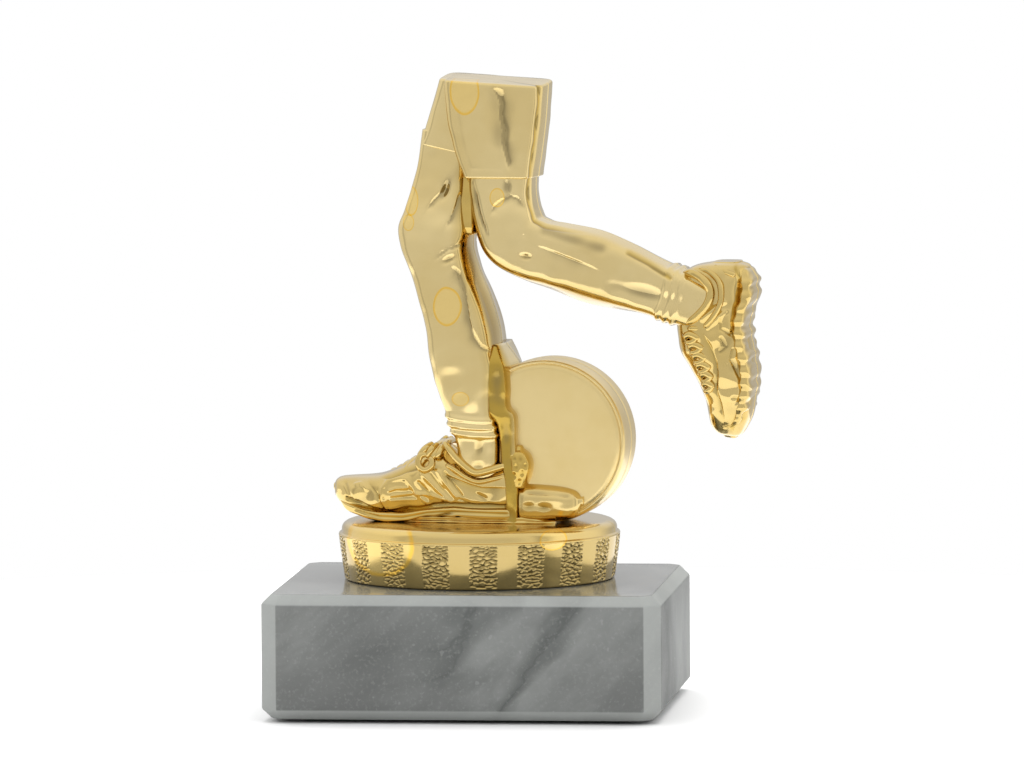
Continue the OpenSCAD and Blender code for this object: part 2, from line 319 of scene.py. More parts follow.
def finished(name, corners, faces, values):
    """Puts corners and faces into a smooth-shaded object that rides on the trophy's one body, with
    the two values of each corner as the attributes "pool" and "fold", the second being painted shade."""
    mesh = bpy.data.meshes.new(name)
    mesh.from_pydata(corners.tolist(), [], faces)
    mesh.validate()
    mesh.shade_smooth()
    for k, kind in enumerate(("pool", "fold")):
        layer = mesh.attributes.new(kind, "FLOAT", "POINT")
        layer.data.foreach_set("value", np.ascontiguousarray(values[:, k], np.float32))
    thing = bpy.data.objects.new(name, mesh)
    bpy.context.scene.collection.objects.link(thing)
    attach(thing, "root")
    return thing


def evenly(points, pool, fold=0.0):
    """The same two values at every point of a grid."""
    return np.stack([np.full(points.shape[:2], pool), np.full(points.shape[:2], fold)], axis=-1)


def matched(values, bevels):
    """Repeats the end rows of a value grid for the rings that rounded_ends added."""
    extra = TURNED_RINGS + len(INNER_RINGS)
    if bevels[0] is not None:
        values = np.concatenate([np.repeat(values[:1], extra, axis=0), values])
    if bevels[1] is not None:
        values = np.concatenate([values, np.repeat(values[-1:], extra, axis=0)])
    return values


def limb(rows, relief, bevels=(None, None), power=4.6, spacing=0.35, around=170,
         pooled=(0.0, 0.0), seam=True, lean=0.0, lugs=0.0, front_share=0.3,
         rear_share=1.0, crevice=None, uneven=0.03):
    """One limb: its sections, moved along their normals by the relief and the parting groove.

    pooled gives how thickly the lacquer lies on the lower and upper drafted walls, lean tips the
    top rearwards, lugs makes a tread on the upper side, crevice is the height above which a groove
    runs down the upper wall, and uneven is the height of slow waves. The second value that comes
    back holds the lacquer's thickness and how deep in a fold each point lies, which sets the painted
    shade that darkens folds, sunk relief and drafted walls."""
    settings = bpy.context.scene.trophy_figure
    points, across, through = limb_surface(rows, spacing, around, power, front_share, rear_share)
    points[..., 2] += lean * points[..., 1] * np.clip((points[..., 2] - LEAN_FROM) / LEAN_OVER, 0, 1)
    tread = np.sin(points[..., 2] * 2.1) + 0.6 * np.sin(points[..., 2] * 3.7 + 1)
    points[..., 0] += lugs * tread * np.clip(across, 0, 1)
    u, z = points[..., 0], points[..., 2]
    face = np.clip((np.abs(through) - 0.55) / 0.35, 0, 1)
    height, sunk, *all_round = relief(u, z)
    row = np.arange(len(u))[:, None] * spacing
    # Relief fades out near a bevelled end; an end without a bevel is hidden in another piece.
    hidden = [9 * (bevel is None) for bevel in bevels]
    inland = np.clip(np.minimum(row + hidden[0], row[::-1] + hidden[1]) / 1.5, 0, 1)
    height = ((height * settings.relief + waves(u, z, uneven)) * face + sum(all_round)) * inland
    if crevice:
        cut = np.exp(-((through + 0.76) / 0.1) ** 2) * np.clip((across - 0.7) / 0.2, 0, 1)
        cut = cut * np.clip((z - crevice) / 2, 0, 1)
        height = height - 0.5 * cut * (1 + 0.4 * np.sin(z * 1.1))
    if seam:
        height = height - settings.seam * np.exp(-(points[..., 1] / 0.22) ** 2)
    wall = (np.exp(-((np.abs(through) - 0.55) / 0.42) ** 2)
            * np.clip((np.abs(across) - 0.6) / 0.3, 0, 1))
    thick = wall * np.where(across < 0, pooled[0], pooled[1])
    pool = thick + sunk * face
    if crevice:
        pool = np.maximum(pool, cut)
    # Painted shade: sunk relief and the drafted walls get a fold value that darkens their colour.
    fold = np.clip(-height / 0.5, 0, 1) * face + 0.42 * thick
    points = points + outward(points) * height[..., None]
    values = matched(np.clip(np.stack([pool, fold], axis=-1), 0, 1), bevels)
    return in_place(rounded_ends(points, bevels)), values


def tube(path, radius, around=12, spacing=0.25):
    """A round lace along the smooth curve through the points, with rounded ends.

    Each ring is cos(turn) first + sin(turn) second, both square to the path's direction."""
    path = np.asarray(path, float)
    count = max(6, int(np.linalg.norm(np.diff(path, axis=0), axis=1).sum() / spacing))
    line = smooth_through(path)(np.linspace(0, len(path) - 1, count))
    way = np.gradient(line, axis=0)
    way /= np.linalg.norm(way, axis=1, keepdims=True)
    first = np.cross(way, [0.31, 0.87, 0.38])
    first /= np.linalg.norm(first, axis=1, keepdims=True)
    second = np.cross(way, first)
    turn = np.arange(around) / around * 2 * np.pi
    size = radius * np.sqrt(np.clip(1 - (2 * np.linspace(0, 1, count) - 1) ** 16, 0.02, 1))
    ring = np.cos(turn)[None, :, None] * first[:, None] + np.sin(turn)[None, :, None] * second[:, None]
    return in_place(line[:, None] + ring * size[:, None, None])


# ---------------------------------------------------------------- the limbs' own shapes

COLUMNS = ("along", "up", "tilt", "width", "front", "rear", "lower", "upper")


def sections(rows, **same):
    """Rows for a limb, in the order of COLUMNS, where the columns named hold one value all along."""
    rows = np.array(rows)
    for place, column in enumerate(COLUMNS):
        if column in same:
            rows = np.insert(rows, place, same[column], axis=1)
    return rows


STANDING_SHORTS = sections([
    [-1.1, 70.8, -3.5, 4.7, 3.6, 5.4, 0.04],
    [-1.8, 68.3, -4.0, 4.7, 3.7, 5.7, 0.04],
    [-3.0, 64.5, -6.0, 4.6, 3.8, 6.2, 0.04],
    [-4.1, 61.4, -10.0, 4.4, 3.95, 6.6, 0.04],
    [-4.7, 60.1, -13.0, 4.2, 4.0, 6.8, 0.03]],
    upper=0.0)
STANDING_LEG = sections([
    [-4.4, 63.0, 4.2, 3.6, 5.6, 0.1],
    [-4.9, 58.0, 4.3, 4.0, 6.0, 0.12],
    [-5.4, 55.4, 4.4, 4.4, 6.4, 0.13],
    [-6.0, 50.5, 5.2, 5.4, 6.9, 0.12],
    [-6.4, 47.3, 5.9, 6.2, 7.0, 0.08],
    [-6.2, 44.0, 5.55, 6.8, 7.1, 0.11],
    [-4.75, 40.0, 5.4, 7.1, 7.3, 0.2],
    [-3.3, 36.0, 5.6, 7.4, 7.6, 0.2],
    [-2.0, 31.2, 5.65, 7.6, 7.8, 0.14],
    [-1.6, 27.2, 5.6, 7.6, 7.8, 0.08],
    [-1.2, 24.6, 5.5, 7.5, 7.7, 0.06],
    [-0.85, 20.8, 4.75, 7.4, 7.5, 0.05],
    [-0.3, 17.8, 4.1, 7.3, 7.3, 0.04],
    [0.3, 15.4, 4.0, 7.2, 7.2, 0.02],
    [1.0, 12.6, 3.7, 7.1, 7.1, 0.02],
    [1.1, 9.0, 3.6, 7.0, 7.0, 0.02],
    [1.2, 6.0, 3.6, 6.6, 6.8, 0.02]],
    tilt=0.0, lower=0.03)
RAISED_SHORTS = sections([
    [3.6, 70.5, -3.5, 8.2, 5.0, 4.8, 0.08],
    [3.6, 68.2, -2.5, 8.05, 5.0, 4.8, 0.08],
    [3.65, 64.0, -1.0, 7.65, 5.1, 4.8, 0.09],
    [4.0, 59.0, 0.0, 6.65, 5.4, 4.9, 0.1],
    [4.25, 56.9, 0.0, 6.05, 5.6, 5.0, 0.1],
    [4.4, 55.7, 0.0, 5.75, 5.7, 5.1, 0.1]],
    lower=0.0)
RAISED_LEG = [
    [4.2, 61.0, 0.0, 5.2, 4.6, 4.4, 0.1, 0.03],
    [4.2, 56.0, 0.0, 5.5, 5.0, 4.6, 0.16, 0.04],
    [4.3, 52.5, 2.0, 5.45, 5.4, 4.8, 0.2, 0.06],
    [4.9, 48.8, 14.0, 5.5, 5.9, 5.1, 0.22, 0.06],
    [6.4, 45.5, 38.0, 5.55, 6.2, 5.4, 0.2, 0.07],
    [9.7, 43.6, 66.0, 5.3, 6.4, 5.6, 0.2, 0.08],
    [13.4, 42.6, 75.0, 5.55, 6.4, 5.8, 0.28, 0.14],
    [19.0, 41.0, 75.5, 6.05, 6.4, 6.0, 0.36, 0.16],
    [24.0, 39.5, 75.0, 5.5, 6.2, 5.8, 0.28, 0.14],
    [28.5, 38.0, 73.0, 4.7, 6.0, 5.5, 0.16, 0.12],
    [32.0, 36.8, 72.0, 4.35, 6.1, 5.4, 0.1, 0.1],
    [35.0, 35.8, 71.0, 4.3, 6.4, 5.6, 0.1, 0.1],
    [38.5, 34.6, 70.0, 4.2, 6.4, 5.6, 0.1, 0.1]]
CALF_WEB = sections([
    [3.4, 28.6, 1.2, 4.6, 6.9, 0.2],
    [3.9, 26.4, 2.4, 6.6, 7.1, 0.4],
    [4.2, 24.9, 2.9, 7.0, 7.2, 0.45],
    [4.6, 21.6, 2.4, 7.0, 7.2, 0.4],
    [4.7, 18.8, 2.3, 6.9, 7.2, 0.4],
    [5.5, 17.4, 2.5, 7.1, 7.2, 0.35],
    [6.1, 15.6, 1.9, 7.0, 7.2, 0.35],
    [6.3, 12.6, 1.6, 6.9, 7.2, 0.35],
    [6.6, 9.8, 1.8, 7.2, 7.2, 0.3],
    [6.9, 6.0, 1.4, 7.4, 7.2, 0.2],
    [6.9, -0.4, 1.2, 7.4, 7.2, 0.2]],
    tilt=0.0, lower=0.0)
CROTCH_WEB = sections([
    [-2.2, 61.0, 2.4, 2.4, 4.6],
    [-1.7, 57.0, 2.2, 3.0, 4.6],
    [-1.3, 53.0, 1.7, 3.8, 4.6],
    [-0.9, 49.6, 1.4, 4.6, 4.6],
    [-0.6, 47.6, 1.1, 5.0, 4.4],
    [-0.4, 46.2, 0.7, 4.4, 3.4]],
    tilt=0.0, lower=0.0, upper=0.0)
REAR_RIB = sections([
    [4.1, 26.2, 0.6, 4.6],
    [4.1, 25.6, 1.1, 6.4],
    [4.3, 24.4, 1.6, 7.2],
    [4.9, 18.0, 2.3, 7.5],
    [6.0, 0.0, 2.8, 7.5]],
    tilt=0.0, front=-0.6, lower=0.0, upper=0.0)
STANDING_UPPER = sections([
    [-23.5, 5.0, 0.7, 1.4, 1.4, 0.1, 0.3],
    [-23.2, 4.9, 1.5, 2.8, 2.8, 0.1, 0.3],
    [-22.3, 4.7, 2.1, 4.2, 4.2, 0.1, 0.3],
    [-20.2, 4.4, 2.6, 5.6, 5.4, 0.1, 0.3],
    [-17.4, 4.2, 3.0, 6.6, 6.2, 0.08, 0.3],
    [-15.2, 4.3, 3.3, 7.2, 6.8, 0.08, 0.3],
    [-12.4, 4.8, 3.95, 7.5, 7.1, 0.08, 0.32],
    [-10.0, 5.4, 4.65, 7.6, 7.2, 0.08, 0.34],
    [-8.4, 5.95, 5.3, 7.7, 7.3, 0.08, 0.32],
    [-6.6, 6.35, 5.7, 7.7, 7.3, 0.08, 0.3],
    [-4.6, 6.4, 5.8, 7.7, 7.4, 0.08, 0.26],
    [-2.0, 5.3, 4.7, 7.6, 7.4, 0.08, 0.1],
    [1.2, 4.6, 4.0, 7.6, 7.4, 0.08, 0.06],
    [4.0, 5.1, 4.5, 7.5, 7.3, 0.08, 0.06],
    [5.8, 5.3, 4.7, 7.2, 6.9, 0.08, 0.1],
    [6.7, 5.2, 4.4, 6.4, 6.2, 0.08, 0.1],
    [7.2, 5.0, 3.8, 5.4, 5.4, 0.08, 0.1]],
    tilt=90.0)
STANDING_SOLE = sections([
    [-22.4, 3.1, 116.0, 0.5, 3.2, 3.0],
    [-21.2, 2.3, 112.0, 0.9, 4.6, 4.4],
    [-19.0, 1.6, 104.0, 1.0, 6.0, 5.6],
    [-16.6, 1.0, 98.0, 1.0, 7.0, 6.6],
    [-13.4, 0.8, 92.0, 1.0, 7.7, 7.2],
    [-10.0, 1.0, 86.0, 1.0, 8.0, 7.5],
    [-6.6, 1.5, 82.0, 1.05, 8.0, 7.6],
    [-3.0, 1.75, 88.0, 1.1, 8.0, 7.7],
    [0.5, 1.6, 90.0, 1.1, 8.0, 7.7],
    [4.0, 1.5, 90.0, 1.15, 7.9, 7.7],
    [6.2, 1.5, 90.0, 1.15, 7.5, 7.2],
    [7.2, 1.5, 90.0, 1.1, 6.8, 6.6]],
    lower=0.0, upper=0.0)
FOOT_PAD = sections([
    [-15.0, 0.2, 0.6, 5.2, 5.0],
    [-12.0, 0.3, 0.7, 6.6, 6.4],
    [-5.0, 0.4, 0.9, 7.3, 7.0],
    [2.0, 0.4, 0.9, 7.4, 7.0],
    [9.0, 0.3, 0.8, 7.2, 7.0],
    [13.6, 0.1, 0.6, 6.6, 6.2]],
    tilt=90.0, lower=0.0, upper=0.0)
RAISED_UPPER = [
    [40.9, 42.0, 0.0, 2.3, 3.0, 3.0, 0.1, 0.1],
    [40.2, 41.5, 0.0, 4.3, 4.7, 4.5, 0.1, 0.1],
    [39.6, 40.5, 0.0, 5.2, 5.6, 5.3, 0.1, 0.06],
    [39.4, 38.4, 0.0, 5.6, 5.9, 5.5, 0.1, 0.06],
    [38.9, 35.4, 0.0, 5.5, 6.3, 5.9, 0.08, 0.06],
    [38.6, 32.4, 0.0, 5.6, 6.5, 6.2, 0.08, 0.06],
    [39.0, 30.0, 0.0, 5.8, 6.6, 6.3, 0.08, 0.06],
    [39.4, 28.0, 3.0, 5.8, 6.6, 6.3, 0.1, 0.06],
    [40.3, 25.6, 4.0, 5.2, 6.5, 6.2, 0.1, 0.06],
    [41.0, 23.2, 3.0, 4.6, 6.4, 6.1, 0.1, 0.06],
    [41.5, 20.3, 1.0, 3.9, 6.1, 5.8, 0.1, 0.06],
    [41.5, 17.6, -2.0, 3.4, 5.5, 5.2, 0.1, 0.06],
    [41.2, 15.8, -6.0, 2.8, 4.7, 4.4, 0.1, 0.06],
    [41.2, 14.6, -8.0, 2.0, 3.4, 3.2, 0.1, 0.06],
    [41.3, 14.1, -8.0, 1.1, 1.9, 1.9, 0.1, 0.06]]
RAISED_SOLE = sections([
    [43.35, 41.5, 20.0, 0.6, 2.8, 2.0],
    [44.25, 40.5, 8.0, 0.9, 4.2, 3.0],
    [44.75, 39.0, 0.0, 1.0, 5.2, 3.8],
    [44.75, 36.6, 0.0, 1.0, 5.8, 4.2],
    [43.95, 34.2, -3.0, 0.95, 6.2, 4.4],
    [43.65, 31.6, 0.0, 0.95, 6.4, 4.6],
    [43.9, 29.0, 2.0, 1.0, 6.5, 4.6],
    [44.5, 26.2, 2.0, 1.0, 6.5, 4.6],
    [44.7, 23.0, 0.0, 1.0, 6.3, 4.5],
    [44.3, 20.2, -4.0, 1.0, 5.8, 4.2],
    [43.5, 18.0, -12.0, 0.95, 5.2, 3.8],
    [42.6, 16.2, -24.0, 0.9, 4.4, 3.4],
    [41.8, 15.0, -34.0, 0.7, 3.2, 2.6],
    [41.4, 14.5, -40.0, 0.4, 2.0, 1.8]],
    lower=0.0, upper=0.0)
HEEL_KNOB = sections([
    [7.6, 12.0, 1.0, 6.2, 4.0],
    [7.9, 11.2, 1.7, 7.3, 5.0],
    [8.2, 9.6, 1.9, 7.7, 5.0],
    [8.2, 7.6, 1.6, 7.6, 5.0],
    [7.9, 6.0, 1.2, 7.4, 5.0]],
    tilt=0.0, lower=0.0, upper=0.0)
SUPPORT_FOOT = sections([
    [8.2, 3.2, 3.3, 7.2, 7.0],
    [9.4, 3.3, 3.3, 7.6, 7.4],
    [13.0, 3.25, 3.1, 7.7, 7.5],
    [15.8, 3.2, 2.75, 7.4, 7.2],
    [17.2, 3.3, 2.1, 6.8, 6.6],
    [17.8, 3.5, 1.0, 6.0, 5.8]],
    tilt=90.0, lower=0.05, upper=0.1)


def standing_leg_relief(u, z):
    """Knee folds, the hollow beside the shin, ankle and sock of the standing leg."""
    notch = near_spot(u, z, (-4.3, 53.6), (0.45, 1.1), -15)
    upper = overlap(u, z, [(-7.2, 50.2), (-6.3, 51.6), (-5.2, 52.7), (-4.1, 54.4)], 0.8)
    inner = overlap(u, z, [(-3.9, 47.4), (-3.0, 49.3), (-2.2, 51.4), (-1.9, 52.8)], 0.6)
    lower = overlap(u, z, [(-0.8, 45.0), (-2.0, 44.4), (-3.5, 43.9), (-5.6, 42.4)], 0.7)
    shin = overlap(u, z, [(-2.6, 41.2), (-1.5, 40.2), (-0.7, 38.2), (-0.3, 35.6), (0.1, 32.8),
                          (0.9, 30.0), (1.9, 28.6), (3.4, 27.6)], 0.8)
    hole = near_spot(u, z, (-3.3, 42.4), (1.0, 0.45), 25)
    scar = oval_rim(u, z, (-0.9, 39.2), (0.7, 1.5), 0.25)
    ankle = near_spot(u, z, (1.5, 11.9), (0.6, 1.2), -10)
    ankle += 0.6 * near_spot(u, z, (1.4, 9.3), (0.6, 0.5))
    hem = near_path(u, z, [(-1.6, 57.5), (-3.4, 55.4), (-4.2, 54.2)], 1.1)
    h = 0.22 * near_spot(u, z, (-6.3, 47.2), (2.8, 3.8), 10)
    h += 0.3 * near_spot(u, z, (2.2, 34.5), (1.7, 5.5), 4)
    h += -0.7 * notch - 0.5 * upper - 0.6 * inner - 0.42 * lower - 0.6 * shin - 0.6 * hole
    h += -0.08 * scar - 0.35 * ankle - 0.18 * hem
    rolls = 0 * u
    for level, size in ((16.5, 0.4), (15.3, 0.5), (14.1, 0.42)):
        drop = level + 0.02 * (u - 1) ** 2 - 0.05 * (u - 1)
        rolls = rolls + size * np.exp(-((z - drop) / 0.4) ** 2)
    return h, 0.3 * hole + 0.3 * ankle, rolls


def raised_leg_relief(u, z):
    """Kneecap, shin facets and sock of the raised leg."""
    inner = overlap(u, z, [(3.0, 45.8), (1.7, 48.8), (0.8, 51.6), (0.3, 54.6)], 0.5)
    cap = overlap(u, z, [(3.2, 49.6), (4.0, 51.0), (5.2, 51.9), (6.6, 52.6), (7.8, 52.2), (9.0, 50.6)], 0.9)
    hollow = near_spot(u, z, (5.9, 54.0), (0.7, 1.3))
    hole = near_spot(u, z, (9.2, 42.9), (0.75, 0.42))
    pit = near_spot(u, z, (8.9, 46.3), (0.2, 0.2))
    facet = near_path(u, z, [(12.4, 47.2), (17.3, 45.6), (21.4, 44.4)], 1.1)
    calf = overlap(u, z, [(11.8, 44.4), (16.0, 42.8), (20.2, 41.2)], 1.0)
    groove = near_path(u, z, [(25.8, 43.7), (29.0, 42.0), (32.6, 39.7)], 0.34)
    dark = near_spot(u, z, (28.0, 37.3), (4.6, 1.0), -12)
    h = -0.55 * inner - 0.42 * cap - 0.45 * hollow - 0.5 * hole - 0.25 * pit
    h += 0.2 * near_spot(u, z, (6.2, 47.6), (2.8, 3.8), 12)
    h += -0.34 * facet - 0.36 * calf - 0.4 * groove - 0.4 * dark
    c, s = 0.959, 0.284                     # cosine and sine of the shin's slope
    along = (u - 8) * c - (z - 43.6) * s
    across = (u - 33) * s + (z - 36.3) * c
    rolls = 0 * u
    for level, size in ((24.7, 0.45), (25.9, 0.55), (27.1, 0.5)):
        place = level - 0.03 * across ** 2
        rolls = rolls + size * np.exp(-((along - place) / 0.42) ** 2)
    return h, 0.5 * hole + 0.8 * groove, rolls


def raised_shorts_relief(u, z):
    """The crease down the front of the raised leg's shorts, and the flat border inside its edge."""
    crease = overlap(u, z, [(6.4, 57.0), (5.9, 58.8), (5.2, 61.4), (5.3, 63.2), (4.8, 65.6), (5.0, 67.4),
                            (4.3, 69.2), (3.2, 70.6)], 1.1, 0.14)
    soft = near_path(u, z, [(3.4, 70.8), (4.4, 67.0), (4.8, 61.0)], 1.4)
    border = near_path(u, z, [(-2.6, 70.8), (-1.9, 66.0), (-0.8, 60.0), (0.2, 57.2), (5.0, 56.9)], 0.3)
    h = -0.55 * crease - 0.18 * soft - 0.1 * border
    return h, 0.12 * crease


def standing_shorts_relief(u, z):
    """A flat border inside the left edge."""
    return -0.1 * near_path(u, z, [(-6.0, 71.0), (-6.8, 66.0), (-8.2, 61.0)], 0.3), 0 * u


def plain_relief(u, z):
    """No folds and no pooled lacquer."""
    return 0 * u, 0 * u


def web_relief(u, z):
    """The uneven web between calf and disc, thick with lacquer, with a ridge down its right side."""
    ridge = near_path(u, z, [(6.6, 26.0), (6.4, 18.6), (7.2, 17.0), (7.1, 11.0)], 0.35)
    dip = near_spot(u, z, (4.6, 22.6), (0.8, 2.6)) + near_spot(u, z, (5.9, 14.4), (0.6, 1.8))
    return 0.25 * ridge - 0.2 * dip, np.clip(1.0 - 0.5 * ridge, 0, 1)


def knob_relief(u, z):
    """The lump behind the heel, pitted round its middle."""
    pits = sum(near_spot(u, z, at, (0.32, 0.28)) for at in (
        (7.3, 10.6), (8.4, 10.4), (9.2, 9.4), (7.6, 9.2), (8.7, 8.2), (7.4, 7.8), (8.2, 6.8)))
    return -0.3 * pits, 0.75 + 0.2 * pits


def standing_upper_relief(u, z):
    """Toe cap, ribbed side panel, crossing straps, eyelet edge and heel counter."""
    cap = overlap(u, z, [(-14.0, 1.6), (-14.8, 2.8), (-15.4, 4.6), (-16.9, 6.4)], 0.6)
    lids = near_path(u, z, [(-19.2, 5.9), (-18.3, 6.1), (-17.1, 5.2)], 0.26)
    bumper = near_path(u, z, [(-21.0, 6.0), (-20.4, 4.8), (-19.8, 3.6)], 0.3)
    panel = near_path(u, z, [(-13.8, 1.9), (-14.5, 3.8), (-14.4, 5.4), (-13.6, 6.6), (-11.3, 7.1),
                             (-10.3, 7.0), (-8.6, 4.6), (-6.6, 2.9), (-10.0, 2.1), (-13.8, 1.9)], 0.34)
    dish = near_spot(u, z, (-11.0, 4.4), (2.0, 1.2), -10)
    ribs = (near_path(u, z, [(-13.2, 5.1), (-12.1, 5.5), (-10.4, 5.6)], 0.22)
            + near_path(u, z, [(-12.8, 4.3), (-9.6, 4.7)], 0.2)
            + near_path(u, z, [(-12.8, 3.5), (-9.0, 3.7)], 0.2))
    eyelets = overlap(u, z, [(-4.6, 8.7), (-8.0, 8.8), (-10.5, 8.2), (-13.0, 7.1), (-14.8, 7.0)], 0.5)
    straps = (near_path(u, z, [(-7.6, 7.8), (-6.2, 6.4), (-5.2, 5.4), (-3.1, 3.4)], 0.34)
              + near_path(u, z, [(-5.2, 8.4), (-3.9, 6.4), (-2.1, 4.2)], 0.34)
              + near_path(u, z, [(-8.7, 4.7), (-6.6, 4.6), (-4.0, 3.8)], 0.26))
    cuts = sum(near_path(u, z, cut, 0.2) for cut in (
        [(-8.3, 6.6), (-6.3, 4.4)], [(-6.4, 8.0), (-4.3, 5.4)], [(-4.0, 8.2), (-1.2, 4.4)]))
    counter = overlap(u, z, [(-4.4, 7.8), (-2.6, 7.2), (0.0, 6.2), (2.0, 5.7), (6.4, 5.6)], 0.6)
    dents = near_spot(u, z, (1.8, 4.4), (0.8, 0.4), -35) + near_spot(u, z, (-1.0, 3.6), (1.2, 0.3), -20)
    welt = near_path(u, z, [(-20.6, 3.6), (-17.5, 2.3), (-14.8, 1.6), (-12.1, 1.8), (-6.6, 2.7),
                            (-3.1, 3.0), (6.6, 2.7)], 0.34)
    height = -0.3 * cap + 0.2 * lids - 0.22 * bumper + 0.3 * panel - 0.25 * dish + 0.2 * ribs
    height = height - 0.34 * eyelets
    height += 0.3 * straps - 0.2 * cuts - 0.3 * counter - 0.3 * dents - 0.5 * welt
    return height, 0.3 * cap + 0.35 * eyelets + 0.4 * counter + 0.8 * welt + 0.4 * cuts + 0.1


def raised_upper_relief(u, z):
    """The same kind of shoe, toe down: eyelet edge, marks on the side panel and toe cap."""
    eyelets = overlap(u, z, [(38.2, 30.8), (39.4, 28.8), (40.2, 26.4), (40.4, 24.6), (40.2, 21.9),
                             (40.8, 19.5), (41.2, 17.0)], 0.5)
    marks = sum(near_path(u, z, path, 0.26) for path in (
        [(41.0, 30.2), (41.8, 28.8), (40.9, 28.0)], [(42.9, 28.4), (42.5, 26.8), (43.2, 25.6)],
        [(43.4, 25.2), (44.0, 23.6), (44.2, 22.4)], [(42.9, 20.6), (43.9, 20.5), (44.7, 21.4)],
        [(40.8, 33.2), (41.0, 31.6), (42.6, 30.8)], [(42.8, 31.2), (44.2, 30.0)]))
    slots = (near_spot(u, z, (44.0, 20.2), (1.0, 0.3), 35) + near_spot(u, z, (43.9, 18.2), (0.5, 1.1), -25)
             + near_spot(u, z, (44.0, 33.4), (0.4, 1.3), -12))
    cap = overlap(u, z, [(44.8, 17.6), (43.6, 16.6), (42.3, 15.9), (40.4, 15.6)], 0.5)
    folds = near_path(u, z, [(38.0, 33.2), (39.6, 34.6), (41.4, 36.0)], 0.4)
    folds += near_path(u, z, [(38.9, 31.8), (40.2, 33.0), (41.6, 34.4)], 0.35)
    welt = near_path(u, z, [(43.0, 41.6), (44.0, 39.0), (43.6, 35.0), (43.0, 32.2), (43.9, 29.2),
                            (44.4, 26.0), (44.5, 23.0), (44.2, 20.0), (43.6, 17.8), (42.4, 15.6)], 0.3)
    height = -0.34 * eyelets - 0.26 * marks - 0.45 * slots - 0.35 * cap + 0.26 * folds - 0.15 * welt
    return height, 0.4 * eyelets + 0.2 * marks + 0.5 * welt + 0.4 * cap + 0.15


def sole_relief(u, z):
    """A wavy line along the sole's edge and small cuts up from its tread."""
    wave = near_path(u, z, [(-19.0, 1.8), (-15.0, 0.9), (-11.0, 0.8), (-7.0, 1.6), (-3.0, 1.9),
                            (6.0, 1.6)], 0.22)
    cuts = (near_spot(u, z, (-7.4, 0.7), (1.5, 0.4), 12) + near_spot(u, z, (-4.2, 1.2), (1.5, 0.35), 14)
            + near_spot(u, z, (-1.9, 0.7), (0.4, 0.3)))
    return -0.2 * wave - 0.55 * cuts, 0.2 + 0.5 * wave


def pad_relief(u, z):
    """Level streaks along the pad that joins the shoe to the plinth."""
    return 0.12 * np.sin(z * 9.0) + 0.1 * np.sin(u * 1.7) * np.sin(u * 0.9), 0.3 + 0 * u


def raised_sole_relief(u, z):
    """Even waves along the raised sole's edge."""
    return 0.12 * np.sin(z * 3.1), 0.25 + 0 * u


def foot_relief(u, z):
    """Two dents low on the support foot and a groove along its upper edge."""
    dent, hollow = near_spot(u, z, (12.2, 2.7), (0.8, 0.55)), near_spot(u, z, (9.6, 2.8), (0.9, 0.6))
    groove = near_path(u, z, [(7.6, 5.2), (12, 5.0), (16, 4.6)], 0.4)
    return -0.35 * dent - 0.25 * hollow - 0.25 * groove, 0.5 * dent + 0.4 * hollow


# ---------------------------------------------------------------- finishes

def joining(operation, swapped=False):
    """An operator that adds a Math node for two values, the second one first where swapped."""
    def join(self, other):
        values = (other, self) if swapped else (self, other)
        return self.paint.math(operation, *values)

    return join


class Wire:
    """A node's output that can be used in sums: each operator adds its Math node."""
    __add__ = joining("ADD")
    __radd__ = joining("ADD", swapped=True)
    __sub__ = joining("SUBTRACT")
    __rsub__ = joining("SUBTRACT", swapped=True)
    __mul__ = joining("MULTIPLY")
    __rmul__ = joining("MULTIPLY", swapped=True)
    __truediv__ = joining("DIVIDE")
    __pow__ = joining("POWER")

    def __init__(self, paint, socket):
        self.paint = paint
        self.socket = socket


